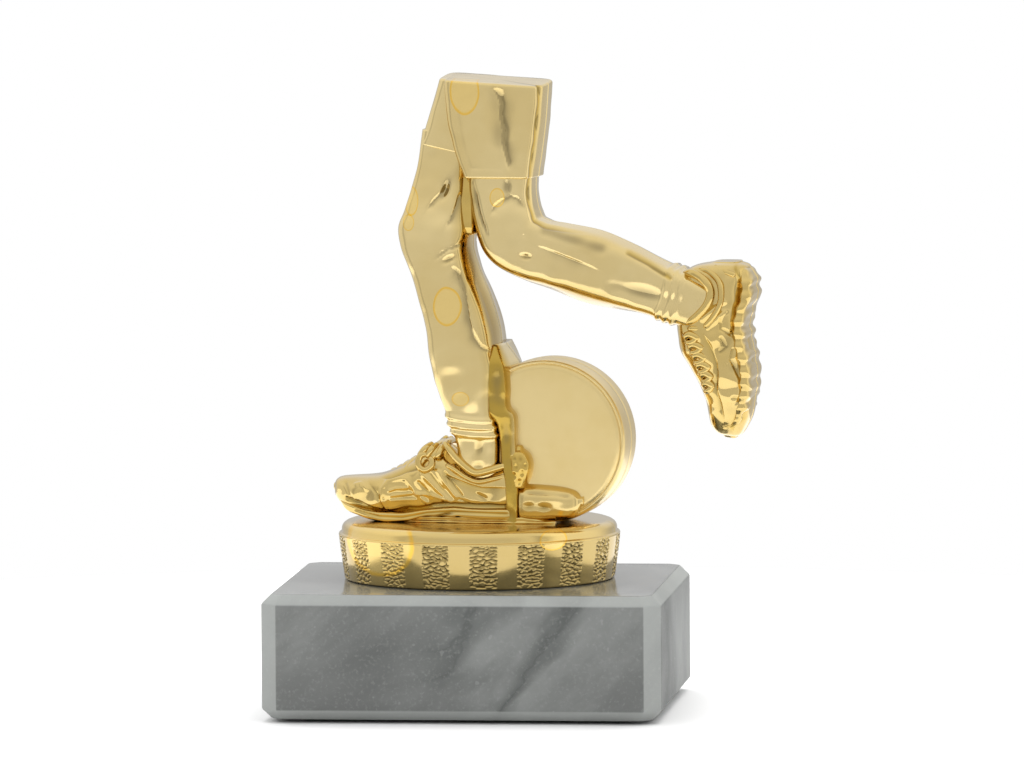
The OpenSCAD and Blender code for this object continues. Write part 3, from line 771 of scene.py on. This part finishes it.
class Paint:
    """One material being mixed: add puts in a node, and surface finishes it."""

    def __init__(self, name):
        self.material = bpy.data.materials.new(name)
        self.begin(self.material)
        self.place = self.add("ShaderNodeTexCoord", out="Object")

    @classmethod
    def of(cls, world):
        """The same for the world, which has no object coordinates."""
        paint = cls.__new__(cls)
        paint.begin(world)
        return paint

    def begin(self, owner):
        """Empties the owner's node tree."""
        owner.use_nodes = True
        self.tree = owner.node_tree
        self.tree.nodes.clear()

    def add(self, kind, settings=None, inputs=None, out=0):
        """A node of any type: its settings, then the values or links of its sockets."""
        node = self.tree.nodes.new(kind)
        for key, value in (settings or {}).items():
            setattr(node, key, value)
        for key, value in (inputs or {}).items():
            if isinstance(value, Wire):
                self.tree.links.new(value.socket, node.inputs[key])
            else:
                node.inputs[key].default_value = value
        return Wire(self, node.outputs[out])

    def math(self, operation, *values):
        """A Math node on the values given."""
        return self.add("ShaderNodeMath", {"operation": operation}, dict(enumerate(values)))

    def parts(self, vector):
        """The x, y and z of a vector."""
        return [self.add("ShaderNodeSeparateXYZ", None, {0: vector}, out=k) for k in range(3)]

    def layer(self, name):
        """One of the values stored at the piece's points."""
        return self.add("ShaderNodeAttribute", {"attribute_name": name}, out=2)

    def blend(self, factor, a, b):
        """Colour a where factor is 0 and b where it is 1."""
        a, b = ((*c, 1) if isinstance(c, (tuple, list)) else c for c in (a, b))
        return self.add("ShaderNodeMix", {"data_type": "RGBA", "clamp_factor": False},
                        {0: factor, 6: a, 7: b}, out=2)

    def noise(self, scale, detail=3.0, roughness=0.5, distortion=0.0, where=None, out=0):
        """A noise on the object's own coordinates, or on those given."""
        return self.add("ShaderNodeTexNoise", None,
                        {"Vector": where or self.place, "Scale": scale, "Detail": detail,
                         "Roughness": roughness, "Distortion": distortion}, out)

    def step(self, value, low, high):
        """0 below low, 1 above high and smooth between."""
        return self.add("ShaderNodeMapRange", {"interpolation_type": "SMOOTHSTEP"},
                        {0: value, 1: low, 2: high, 3: 0.0, 4: 1.0})

    def bump(self, height, strength, distance):
        """Normals tilted by a height; the distance is in metres."""
        return self.add("ShaderNodeBump", None,
                        {"Height": height, "Strength": strength, "Distance": distance})

    def surface(self, inputs):
        """The finished material, as one principled surface."""
        self.end("ShaderNodeOutputMaterial", self.add("ShaderNodeBsdfPrincipled", None, inputs))
        return self.material

    def end(self, kind, shader):
        """Joins the finished shader to the output node."""
        self.tree.links.new(shader.socket, self.tree.nodes.new(kind).inputs[0])


def stain_masks(paint, spots):
    """Fill and outline of round lacquer stains on the front: distance from each one's middle in
    the upright plane, in its own radii. A spot is x, z, half width and half height in mm."""
    x, y, z = paint.parts(paint.place)
    front = 1 - paint.step(y, 0.0012, 0.0022)
    wobble = paint.noise(260, 2) * 0.16 - 0.08
    fill, rim = 0.0, 0.0
    for cx, cz, rx, rz in spots:
        reach = (((x * 1000 - cx) / rx) ** 2.0 + ((z * 1000 - cz) / rz) ** 2.0) ** 0.5 + wobble
        fill = (1 - paint.step(reach, 0.93, 1.03)) + fill
        rim = paint.step(reach, 0.84, 0.97) * (1 - paint.step(reach, 0.98, 1.06)) + rim
    return fill * front, rim * front


def plated(name, pale, deep, stain, spots=(), roughness=0.14, grain=0.0, coat=0.25):
    """Vacuum-plated plastic under lacquer: yellower where the lacquer pools, darker in the folds and
    on drafted walls by painted shade, with round stains, a slight orange peel and, where grain is
    given, a satin sparkle."""
    p = Paint(name)
    pool = p.layer("pool")
    cloud = p.noise(90, 3, 0.55)
    fine = p.noise(2400, 2, 0.6)
    between = tuple(0.5 * (a + b) for a, b in zip(pale, deep))
    shade = p.blend(p.step(cloud, 0.35, 0.7) * 0.3, pale, between)
    colour = p.blend(pool + (cloud - 0.5) * 0.18, shade, deep)
    fold = p.layer("fold")
    # Painted shade: where the stored fold value is high, the colour goes towards a dark copy of the plating.
    colour = p.blend(p.step(fold, 0.05, 0.9) * 0.62, colour, tuple(0.28 * c for c in pale))
    rough = roughness + (cloud - 0.5) * 0.05 + fine * 0.03
    if spots:
        fill, rim = stain_masks(p, spots)
        colour = p.blend(fill * 0.75, colour, stain)
        colour = p.blend(rim * 0.8, colour, (0.92, 0.55, 0.06))
        rough = rough + fill * 0.05
    peel = p.noise(700, 2, 0.5) * 0.5 + p.noise(260, 2, 0.5)
    height = peel + fine * grain
    return p.surface({
        "Base Color": colour, "Metallic": 1.0, "Roughness": rough, "Coat Weight": coat,
        "Coat Roughness": 0.06, "Coat IOR": 1.45,
        "Normal": p.bump(height, 0.12 + 0.3 * grain, 0.00006)})


def marble(name, body, veins):
    """Polished grey marble: slanting cloudy bands with dark smoky veins and a fine crystal grain.
    Veins are where a warped, stretched noise crosses its middle value. The layer "pool" is 1 on the
    polished top and -1 on the chamfers, which are sawn, paler and rough."""
    p = Paint(name)
    polish = p.layer("pool")
    slant = p.add("ShaderNodeMapping", {"vector_type": "TEXTURE"},
                  {"Vector": p.place, "Rotation": (0.0, -0.8, 0.3), "Scale": (1.9, 1.2, 0.75)})
    cloud = p.noise(38, 5, 0.6, 0.5, where=slant)
    wide = p.noise(26, 4, 0.5, 0.9, where=slant)
    smoke = 1 - p.step(p.math("ABSOLUTE", wide - 0.47), 0.0, 0.1)
    line = p.noise(26, 6, 0.55, 0.9, where=slant)
    thread = 1 - p.step(p.math("ABSOLUTE", line - 0.47), 0.0, 0.012)
    patch = p.step(p.noise(22, 2, 0.5), 0.44, 0.6)
    crystal = p.noise(1700, 3, 0.75)
    glint = p.step(p.noise(900, 1, 0.5), 0.73, 0.78)
    light = tuple(1.35 * c for c in body)
    colour = p.blend(p.step(cloud, 0.34, 0.66), tuple(0.8 * c for c in body), light)
    colour = p.blend(patch * (smoke * 0.7 + thread * 0.12), colour, veins)
    colour = p.blend(p.step(crystal, 0.5, 0.74) * 0.28, colour, tuple(1.9 * c for c in body))
    colour = p.blend(glint * 0.22, colour, (0.4, 0.41, 0.4))
    sawn = p.math("MAXIMUM", polish * -1.0, 0.0)
    polish = p.math("MAXIMUM", polish, 0.0)
    colour = p.blend(sawn * 0.55, colour, tuple(2.5 * c for c in body))
    rough = 0.46 + cloud * 0.1 - polish * 0.36
    return p.surface({
        "Base Color": colour, "Roughness": rough, "Specular IOR Level": 0.4,
        "Coat Weight": polish * 0.15, "Coat Roughness": 0.06,
        "Normal": p.bump(crystal, 0.1, 0.00005)})


def felt(name, colour):
    """Short matted fibres."""
    p = Paint(name)
    fibres = p.noise(3000, 4, 0.7, 1.5)
    tuft = p.noise(600, 3, 0.6)
    shade = p.blend(fibres, tuple(0.5 * c for c in colour), tuple(1.5 * c for c in colour))
    return p.surface({"Base Color": p.blend(tuft * 0.4, shade, colour), "Roughness": 0.92 + tuft * 0.06,
                      "Sheen Weight": 0.4, "Normal": p.bump(fibres, 0.6, 0.0002)})


def turned_metal(name, colour, roughness):
    """Zinc or brass with fine turning marks and slight clouding."""
    p = Paint(name)
    stretched = p.add("ShaderNodeMapping", None, {"Vector": p.place, "Scale": (0.2, 0.2, 6.0)})
    marks = p.noise(900, 2, 0.6, where=stretched)
    cloud = p.noise(300, 3)
    shade = p.blend(cloud * 0.5, colour, tuple(0.7 * c for c in colour))
    return p.surface({"Base Color": shade, "Metallic": 1.0, "Roughness": roughness + marks * 0.15,
                      "Normal": p.bump(marks, 0.2, 0.00005)})


def dressed(thing, material, slot, *nodes):
    """Gives a piece its material and hides the nodes it stands for; the slot is not used."""
    thing.data.materials.clear()
    thing.data.materials.append(material)
    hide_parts(*nodes)


def figure_piece(name, parts, values, finish):
    """A plated piece of the figure, which stands for both shells because it crosses their joint."""
    dressed(closed_mesh(name, parts, values), finish, "plated_plastic", *SHELLS)


def gold(name, yellow=0.0, **more):
    """The plating in the settings' colours, made yellower by the share given."""
    f = bpy.context.scene.trophy_finish
    pale = tuple(a + (b - a) * yellow for a, b in zip(f.gold, f.pooled))
    return plated(name, pale, tuple(f.pooled), tuple(f.stain), **more)


def on_figure(u, z):
    """Where a spot on the front of the figure comes in row millimetres (x, z)."""
    at = in_place(np.array([[u, FACE_DEPTH, z]]))[0] * 1000
    return float(at[0]), float(at[2])


# ---------------------------------------------------------------- operators

class BuildStandingLeg(bpy.types.Operator):
    """The standing leg with the webs behind it, and its shorts"""
    bl_idname = "trophy.standing_leg"
    bl_label = "Standing leg"

    def execute(self, context):
        leg, leg_pool_and_shade = limb(STANDING_LEG, standing_leg_relief, pooled=(0.0, 1.0), front_share=1.0,
                             power=6.5)
        web, web_pool_and_shade = limb(CALF_WEB, web_relief, power=6, around=130, front_share=1.0, uneven=0.04)
        rib, rib_pool_and_shade = limb(REAR_RIB, plain_relief, around=70, seam=False)
        knob, knob_pool_and_shade = limb(HEEL_KNOB, knob_relief, bevels=(0.6, 0.3), around=110)
        crotch, crotch_pool_and_shade = limb(CROTCH_WEB, plain_relief, around=90, pooled=(0.6, 0.6))
        shorts, shorts_pool_and_shade = limb(STANDING_SHORTS, standing_shorts_relief, bevels=(0.4, 0.3), power=5.0,
                                   lean=0.08)
        spots = [(*on_figure(-3.6, 34.9), 2.3, 3.1), (*on_figure(-9.6, 51.6), 1.1, 2.3),
                 (*on_figure(-10.0, 48.2), 0.9, 1.3), (*on_figure(-1.5, 20.0), 1.4, 1.1)]
        # Painted shade: the recessed calf web and crotch web are darkened all over by a fold value; the
        # crotch also gets pooled lacquer.
        web_pool_and_shade = web_pool_and_shade + evenly(web, 0.0, 0.35)
        crotch_pool_and_shade = crotch_pool_and_shade + evenly(crotch, 0.7, 0.15)
        figure_piece("standing_leg", [leg, web, rib, crotch, knob],
                     [leg_pool_and_shade, web_pool_and_shade, rib_pool_and_shade, crotch_pool_and_shade, knob_pool_and_shade], gold("leg_gold", spots=spots))
        figure_piece("standing_shorts", [shorts], [shorts_pool_and_shade], gold("far_shorts_gold"))
        return {"FINISHED"}


class BuildRaisedLeg(bpy.types.Operator):
    """The raised leg and its shorts"""
    bl_idname = "trophy.raised_leg"
    bl_label = "Raised leg"

    def execute(self, context):
        leg, pool = limb(RAISED_LEG, raised_leg_relief, pooled=(1.0, 0.15), crevice=46.5, front_share=0.9,
                         power=6.5)
        spots = [(*on_figure(4.5, 52.3), 1.2, 1.5)]
        figure_piece("raised_leg", [leg], [pool], gold("raised_leg_gold", spots=spots))
        shorts, pool = limb(RAISED_SHORTS, raised_shorts_relief, bevels=(0.45, 0.35), power=9.0,
                            pooled=(0.3, 0.2), lean=0.08, crevice=50, front_share=1.0,
                            rear_share=0.0)
        spots = [(*on_figure(-0.8, 69.2), 2.4, 3.6)]
        figure_piece("raised_shorts", [shorts], [pool], gold("shorts_gold", spots=spots))
        return {"FINISHED"}


def beside(y, path):
    """A path on one side of the shoe: its second number is a share of y."""
    return [(u, y * share, z) for u, share, z in path]


def over(half, way):
    """A path over the tongue: in from one side along the way given, and out again mirrored."""
    return beside(-half, way) + beside(half, way[::-1])


def standing_lacing(r):
    """Crossing laces, and on each side a bow with its knot, the padded collar and a seam under it."""
    cords = []
    for u, z, half in ((-14.0, 7.2, 2.6), (-12.8, 7.8, 3.2), (-11.6, 8.5, 3.8), (-10.4, 9.2, 4.4)):
        cords.append((over(half, [(u - 0.5, 1.3, z - 1.1), (u, 0.5, z + 0.25)]), r))
    bow = [(-6.9, 1, 11.0), (-7.9, 1.05, 10.9), (-8.4, 1.08, 10.0), (-8.2, 1.1, 9.0), (-7.3, 1.1, 8.5),
           (-6.4, 1.08, 9.0), (-6.2, 1.05, 10.0), (-6.7, 1.05, 10.6)]
    knots = [[(-7.2, 1, 10.4), (-6.4, 0.98, 11.8), (-5.6, 0.75, 12.5)],
             [(-6.6, 1, 9.8), (-5.7, 0.98, 11.2), (-4.9, 0.75, 12.3)],
             [(-8.4, 1, 10.6), (-7.4, 0.98, 11.9), (-6.4, 0.75, 12.6)],
             [(-5.6, 1, 10.4), (-5.0, 0.98, 11.4), (-4.4, 0.75, 12.6)]]
    collar = [(-4.6, 0.8, 12.9), (-3.5, 0.98, 11.9), (-2.2, 1.04, 10.4), (-0.5, 1.06, 8.9), (1.1, 1.07, 8.1),
              (3.4, 1.05, 8.6), (5.2, 0.98, 9.2), (6.4, 0.7, 9.5), (6.8, 0.3, 9.5), (6.9, 0.0, 9.5)]
    seam = [(-4.0, 1.03, 9.4), (-2.6, 1.06, 8.7), (-0.6, 1.07, 7.4), (1.4, 1.07, 6.7), (4.0, 1.04, 7.2),
            (6.2, 0.92, 7.8)]
    for side in (-1, 1):
        for path, radius in ((bow, r), *((knot, r * 0.95) for knot in knots), (collar, 0.62), (seam, 0.42)):
            cords.append((beside(side * 6.9, path), radius))
    for u, z, half in ((-7.2, 11.4, 5.0), (-6.0, 12.1, 4.6), (-4.9, 12.3, 4.4)):
        cords.append((over(half, [(u, 1, z - 0.6), (u, 0.4, z)]), r * 1.3))
    return cords


def raised_lacing(r):
    """Crossing laces, and on each side their twisted ends, the padded collar and its two seams."""
    cords = []
    for u, z, half in ((38.6, 21.6, 2.8), (38.1, 22.9, 3.2), (37.3, 24.4, 3.8), (36.7, 25.8, 4.2),
                       (36.0, 27.2, 4.6), (35.2, 28.6, 4.9), (34.9, 30.2, 5.0), (34.9, 31.5, 5.0)):
        way = [(u + 2.6, 1.25, z + 0.2), (u + 1.0, 1.15, z + 0.1), (u, 0.6, z)]
        cords.append((over(half, way), r * 1.05))
    collar = [(34.4, 0.6, 40.0), (35.8, 0.8, 40.4), (37.4, 0.94, 39.9), (38.7, 1.05, 38.9),
              (39.3, 1.05, 37.4), (38.8, 1.05, 35.6), (37.4, 1.03, 33.9), (35.8, 0.95, 32.7),
              (34.4, 0.6, 32.2)]
    seam = [(36.8, 0.7, 41.0), (38.8, 0.86, 40.7), (40.4, 0.98, 39.5), (41.0, 1.06, 38.0), (40.9, 1.06, 35.8),
            (39.8, 1.07, 33.6), (38.2, 1.06, 31.8)]
    heel = [(39.4, 0.68, 41.5), (41.4, 0.82, 40.7), (43.2, 0.86, 40.1)]
    for y in (-6.0, 6.0):
        for u, z, tip in ((36.2, 30.0, 1.3), (36.9, 28.4, 1.3), (37.5, 26.8, 1.2), (38.1, 25.3, 1.2),
                          (38.6, 23.8, 1.0), (38.9, 22.3, 0.9)):
            upper = [(u - tip, 0.98, z + 0.2), (u - 0.2, 1.06, z + 0.7), (u + tip, 1.04, z - 0.1)]
            lower = [(u - 0.8 * tip, 0.98, z - 0.6), (u + 0.1, 1.07, z - 0.5), (u + tip, 1.04, z + 0.7)]
            cords += [(beside(y, upper), r * 1.15), (beside(y, lower), r * 0.9)]
        cords += [(beside(y, collar), 0.72), (beside(y, seam), 0.5), (beside(y, heel), 0.5)]
    return cords


class BuildShoes(bpy.types.Operator):
    """Both running shoes: uppers, soles, padded collars and laces"""
    bl_idname = "trophy.shoes"
    bl_label = "Shoes"

    def execute(self, context):
        upper = {"bevels": (0.3, 0.3), "power": 3.2, "spacing": 0.16, "around": 220, "pooled": (0.2, 0.4)}
        sole = {"bevels": (0.2, 0.2), "power": 4.5, "spacing": 0.2, "around": 110, "pooled": (0.3, 0.3)}
        standing = [limb(STANDING_UPPER, standing_upper_relief, uneven=0.07, **upper),
                    limb(STANDING_SOLE, sole_relief, **sole),
                    limb(FOOT_PAD, pad_relief, bevels=(0.2, 0.2), around=90, pooled=(0.4, 0.4))]
        raised = [limb(RAISED_UPPER, raised_upper_relief, uneven=0.1, **upper),
                  limb(RAISED_SOLE, raised_sole_relief, lugs=0.13, **sole)]
        for name, limbs in (("standing_shoe", standing), ("raised_shoe", raised)):
            figure_piece(name, *zip(*limbs), gold(name + "_gold", yellow=0.3, roughness=0.09))
        r = context.scene.trophy_figure.laces
        for name, cords, pool, finish in (
                ("standing_laces", standing_lacing(r), 0.25, "lace_gold"),
                ("raised_laces", raised_lacing(r), 0.3, "raised_lace_gold")):
            parts = [tube(path, radius) for path, radius in cords]
            figure_piece(name, parts, [evenly(part, pool) for part in parts],
                         gold(finish, yellow=0.3, roughness=0.1))
        return {"FINISHED"}


def turned_disc(profile, turns, axis_at):
    """A profile of (radius, depth) pairs turned about a level axis through the disc's middle."""
    profile = np.asarray(profile, float)
    angle = np.arange(turns) / turns * 2 * np.pi
    r, y = profile[:, 0][:, None], profile[:, 1][:, None]
    along, up = axis_at[0] + r * np.cos(angle), axis_at[1] + r * np.sin(angle)
    return np.stack([along, y + 0 * angle, up], axis=-1)


class BuildDisc(bpy.types.Operator):
    """The plain disc behind the leg, with its rounded rim, and the support foot under it"""
    bl_idname = "trophy.disc"
    bl_label = "Disc"

    def execute(self, context):
        half = [(0.02, -5.0), (3.0, -5.0), (6.0, -5.0), (9.0, -5.0), (11.6, -5.0), (12.3, -4.99),
                (12.36, -4.86), (12.42, -4.82), (12.5, -4.9), (12.6, -5.0), (12.72, -5.02), (12.84, -4.96),
                (12.98, -4.82), (13.08, -4.62), (13.13, -4.3), (13.18, -3.0), (13.22, -1.0), (13.22, -0.3),
                (13.1, -0.08)]
        profile = half + [(r, -y) for r, y in reversed(half)]
        disc = in_place(turned_disc(profile, 220, DISC_AT))
        # The foot's second values are painted shade in its dents and on its drafted walls.
        foot, foot_pool_and_shade = limb(SUPPORT_FOOT, foot_relief, bevels=(0.3, 0.5), power=3.4, pooled=(0.3, 0.7))
        satin = gold("satin_gold", yellow=0.05, roughness=0.3, grain=0.35, coat=0.15)
        figure_piece("disc", [disc], None, satin)
        figure_piece("support_foot", [foot], [foot_pool_and_shade], gold("foot_gold", yellow=0.3))
        return {"FINISHED"}


class BuildPlinth(bpy.types.Operator):
    """The round plinth with its smooth rim and hammered panels"""
    bl_idname = "trophy.plinth"
    bl_label = "Plinth"

    def execute(self, context):
        s = context.scene.trophy_plinth
        high = PLINTH_TOP - BLOCK_TOP
        rim = np.array([
            (0.02, 0.0), (8.0, 0.0), (15.0, 0.0), (19.6, 0.0), (20.6, -0.02), (21.1, -0.08), (21.5, -0.22),
            (21.85, -0.46), (22.08, -0.78), (22.18, -1.1), (22.2, -1.5), (22.2, -1.74), (22.22, -1.84),
            (22.4, -1.9), (22.58, -1.94), (22.66, -2.04)])
        wall = np.array([(22.7, -2.15), (22.45, -4.4), (22.1, -7.0), (21.8, -9.1)])
        foot = np.array([(21.7, -9.26), (21.5, -9.36), (21.1, -high), (20.6, -high)])
        lip, recess = 19.2, 1.0
        under = np.array([(lip, -high), (lip - 0.2, -high + recess), (0.02, -high + recess)])
        turns, levels = 960, 74
        down = np.linspace(0, 1, levels)
        t = np.interp(down, [0, 0.32, 0.7, 1], [0, 1, 2, 3])
        band = np.stack([np.interp(t, range(4), wall[:, k]) for k in (0, 1)], axis=1)
        rows = np.concatenate([rim, band, foot, under])
        in_band = np.zeros(len(rows))
        in_band[len(rim):len(rim) + levels] = np.clip(np.minimum(down, 1 - down) / 0.012, 0, 1)
        angle = np.arange(turns) / turns * 2 * np.pi
        pitch, first, edge = 2 * np.pi / s.panels, math.radians(3.6), 0.008
        phase = (angle - first + pitch / 2) % pitch - pitch / 2
        inside = np.clip((s.panel_angle / 2 - np.abs(phase)) / edge, 0, 1)[None, :] * in_band[:, None]
        around, drop = np.meshgrid(angle * 22.4, rows[:, 1])
        flatness, sunk = 1.5, 0.26
        bumps = np.clip(pebbles(around, drop * flatness, 1.0, SEED) * 1.7, 0, 1) ** 0.8
        radius = rows[:, 0][:, None] + inside * (s.hammer * bumps - sunk)
        parting, groove = np.abs((angle % np.pi)) < 0.0065, 0.12
        radius = radius - groove * parting[None, :] * (rows[:, 0] > 20)[:, None]
        points = np.stack([radius * np.cos(angle), radius * np.sin(angle), rows[:, 1][:, None] + 0 * radius],
                          axis=-1)
        pits = inside * (1 - bumps)
        # Darker over the whole hammered band, with painted shade in the pits between the pebbles.
        darker_band_and_pit_shade = 0.55 * (in_band > 0)[:, None] + 0.5 * pits
        thing = closed_mesh("plinth_skin", [in_place(points)], [np.stack([pits * 0.5, darker_band_and_pit_shade], axis=-1)])
        at = in_place(np.array([[-12.2, -21.0, -2.4], [15.5, -16.0, -1.6]])) * 1000
        sizes = ((6.0, 5.2), (2.0, 1.6))
        spots = [(*place, *size) for place, size in zip(at[:, [0, 2]].tolist(), sizes)]
        finish = gold("plinth_gold", yellow=0.4, roughness=0.12, spots=spots)
        dressed(thing, finish, "plated_plastic", "plinth")
        return {"FINISHED"}


def eased(corners, ease, steps=5):
    """A path whose inner corners are swapped for short curves (1-s)^2 a + 2s(1-s) b + s^2 c."""
    corners = np.asarray(corners, float)
    s = np.linspace(0, 1, steps)[:, None]
    path = [corners[:1]]
    for a, b, c in zip(corners[:-2], corners[1:-1], corners[2:]):
        start = b + (a - b) / np.linalg.norm(a - b) * ease
        end = b + (c - b) / np.linalg.norm(c - b) * ease
        path.append((1 - s) ** 2 * start + 2 * s * (1 - s) * b + s ** 2 * end)
    return np.concatenate(path + [corners[-1:]])


def slab(wide, deep, low, high, cut, bevel, ease):
    """A slab whose outline is a rectangle with its corners cut off, carried up a bevelled profile.

    Each level's outline is the first one moved inwards by the profile's inset, which shortens the
    cut by (2 - sqrt 2) of the inset."""
    flat, shortening = 6, 0.586
    profile = eased([(bevel + flat, low), (bevel, low), (0, low + bevel), (0, high - bevel), (bevel, high),
                     (bevel + flat, high)], ease)
    rings = []
    for inset, level in profile:
        a, b = wide / 2 - inset, deep / 2 - inset
        c = max(cut - shortening * inset, 0.3)
        outline = [(a, -b + c), (a, b - c), (a - c, b), (-a + c, b), (-a, b - c), (-a, -b + c),
                   (-a + c, -b), (a - c, -b)]
        ring = eased(outline[-1:] + outline + outline[:1], min(ease, 0.4 * c), 4)[1:-1]
        rings.append(np.column_stack([ring, np.full(len(ring), level)]))
    return np.stack(rings) / 1000


class BuildBase(bpy.types.Operator):
    """The marble block, and finishes of the felt and the fixing hardware"""
    bl_idname = "trophy.base"
    bl_label = "Base"

    def execute(self, context):
        f = context.scene.trophy_finish
        zinc = turned_metal("zinc", (0.62, 0.62, 0.6), 0.3)
        low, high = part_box("marble_block")
        wide, deep = (high - low).xy * 1000
        block = slab(wide, deep, low.z * 1000, high.z * 1000, cut=2.6, bevel=1.6, ease=0.3)
        # Which levels and which points of the outline lie on a chamfer, in slab's own order.
        entering, leaving = [0, 0, 0.5, 1, 1], [1, 1, 0.5, 0, 0]
        bevel = np.array([0, *(entering + leaving) * 2, 0])
        top = np.array([0] * 16 + [0, 0, 0.3, 1, 1] + [1.0])[:, None]
        corner = np.tile([1, 1, 0, 0, 0, 0, 1, 1], 4)[None, :]
        polish = top - np.maximum(bevel[:, None], corner) * (1 - top)
        stone = closed_mesh("stone", [block], [np.stack([polish, 0 * polish], axis=-1)])
        stone.data.set_sharp_from_angle(angle=math.radians(14))
        dressed(stone, marble("grey_marble", tuple(f.stone), tuple(f.veins)), "marble", "marble_block")
        finishes = {
            "felt_base": felt("dark_felt", (0.035, 0.05, 0.04)),
            "captive_nut": turned_metal("nut_brass", (0.7, 0.52, 0.25), 0.28),
            "clamp_screw": zinc, "flat_washer": zinc, "lock_washer": zinc}
        for node, finish in finishes.items():
            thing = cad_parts[node]
            thing.data.materials.clear()
            thing.data.materials.append(finish)
        return {"FINISHED"}


def soft_box(name, place, target, size, power):
    """A square area light that faces the target and isn't mirrored in the plating."""
    lamp = bpy.data.lights.new(name, "AREA")
    lamp.size = size
    lamp.energy = power
    thing = bpy.data.objects.new(name, lamp)
    thing.location = place
    thing.rotation_euler = (Vector(target) - Vector(place)).to_track_quat("-Z", "Y").to_euler()
    thing.visible_glossy = False
    bpy.context.scene.collection.objects.link(thing)


def studio_world():
    """White to the camera; in reflections a soft tent that is brighter above and to the right, dimmer
    below, in front and low behind, and has a narrow darker gap on each side of the front."""
    world = bpy.data.worlds.new("studio")
    p = Paint.of(world)
    direction = p.add("ShaderNodeTexCoord", out="Generated")
    x, y, z = p.parts(direction)
    front = p.step(y * -1.0, 0.1, 0.9)
    low = 1 - p.step(z, -0.75, -0.05)
    side = p.math("ABSOLUTE", p.math("ARCTAN2", x, y * -1.0))
    gap = p.step(side, 0.85, 1.05) * (1 - p.step(side, 1.1, 1.3)) * (1 - p.step(z, 0.5, 0.8))
    high = p.step(z, 0.1, 0.7)
    right = p.step(x, 0.5, 0.95) * (1 - gap)
    behind = p.step(y, 0.5, 0.95) * (1 - p.step(p.math("ABSOLUTE", z), 0.05, 0.35))
    light = 0.84 - front * 0.1 - low * 0.3 - gap * 0.25 + high * 0.12 + right * 0.25 - behind * 0.28
    tent = p.blend(light, (0.0, 0.0, 0.0), (1.0, 1.0, 1.0))
    seen = p.add("ShaderNodeLightPath", out="Is Camera Ray")
    sky = p.add("ShaderNodeBackground", None, {0: p.blend(seen, tent, (1.0, 1.0, 1.0)), 1: 1.0})
    p.end("ShaderNodeOutputWorld", sky)
    return world


class BuildStage(bpy.types.Operator):
    """Pale floor, soft studio light and the camera"""
    bl_idname = "trophy.stage"
    bl_label = "Stage"

    def execute(self, context):
        s = context.scene.trophy_stage
        mesh = bpy.data.meshes.new("floor")
        sides, reach = 96, 0.22
        turn = np.arange(sides) / sides * 2 * np.pi
        rim = np.stack([reach * np.cos(turn), reach * np.sin(turn), 0 * turn], axis=1)
        mesh.from_pydata(rim.tolist(), [], [list(range(sides))])
        floor = bpy.data.objects.new("floor", mesh)
        context.scene.collection.objects.link(floor)
        p = Paint("floor_white")
        mesh.materials.append(p.surface({
            "Base Color": p.blend(p.noise(3), (0.93, 0.93, 0.93), (0.95, 0.95, 0.95)), "Roughness": 0.7}))
        context.scene.world = studio_world()
        context.scene.view_settings.view_transform = "Standard"
        for name, place, size, power in (
                ("top_box", (0.05, 0.2, 0.9), 0.8, 6.5), ("left_box", (-0.8, 0.3, 0.7), 0.5, 1.5)):
            soft_box(name, place, (0, 0, 0.05), size, power * s.light)
        a, e = s.azimuth, s.elevation
        back = Vector((math.sin(a) * math.cos(e), -math.cos(a) * math.cos(e), math.sin(e)))
        right = Vector((math.cos(a), math.sin(a), 0))
        up = back.cross(right)
        aside, above = 0.00538, 0.03108
        aim = Vector((0, SCREW_Y, BLOCK_TOP)) / 1000 + right * aside + up * above
        c, q = math.cos(s.roll), math.sin(s.roll)
        right, up = right * c + up * q, up * c - right * q
        camera = bpy.data.cameras.new("camera")
        camera.lens = s.lens
        camera.clip_end = 20
        thing = bpy.data.objects.new("camera", camera)
        thing.matrix_world = Matrix.Translation(aim + back * s.distance) @ Matrix(
            (right, up, back)).transposed().to_4x4()
        context.scene.collection.objects.link(thing)
        context.scene.camera = thing
        return {"FINISHED"}


BUILDERS = (BuildStandingLeg, BuildRaisedLeg, BuildShoes, BuildDisc, BuildPlinth, BuildBase, BuildStage)
SETTINGS = {"trophy_figure": TrophyFigure, "trophy_plinth": TrophyPlinth, "trophy_finish": TrophyFinish,
            "trophy_stage": TrophyStage}


class TrophyPanel(bpy.types.Panel):
    """Sizes and builders of the trophy"""
    bl_idname = "VIEW3D_PT_trophy"
    bl_label = "Runner's Legs Trophy"
    bl_space_type = "VIEW_3D"
    bl_region_type = "UI"
    bl_category = "Trophy"

    def draw(self, context):
        for key, group in SETTINGS.items():
            box = self.layout.box()
            for prop in group.__annotations__:
                box.prop(getattr(context.scene, key), prop)
        for builder in BUILDERS:
            self.layout.operator(builder.bl_idname)


def register():
    for kind in (*SETTINGS.values(), *BUILDERS, TrophyPanel):
        bpy.utils.register_class(kind)
    for key, group in SETTINGS.items():
        setattr(bpy.types.Scene, key, PointerProperty(type=group))


def unregister():
    for key in SETTINGS:
        delattr(bpy.types.Scene, key)
    for kind in (TrophyPanel, *reversed(BUILDERS), *reversed(SETTINGS.values())):
        bpy.utils.unregister_class(kind)


def main():
    register()
    for builder in BUILDERS:
        group, name = builder.bl_idname.split(".")
        getattr(getattr(bpy.ops, group), name)()


if __name__ == "__main__":
    main()
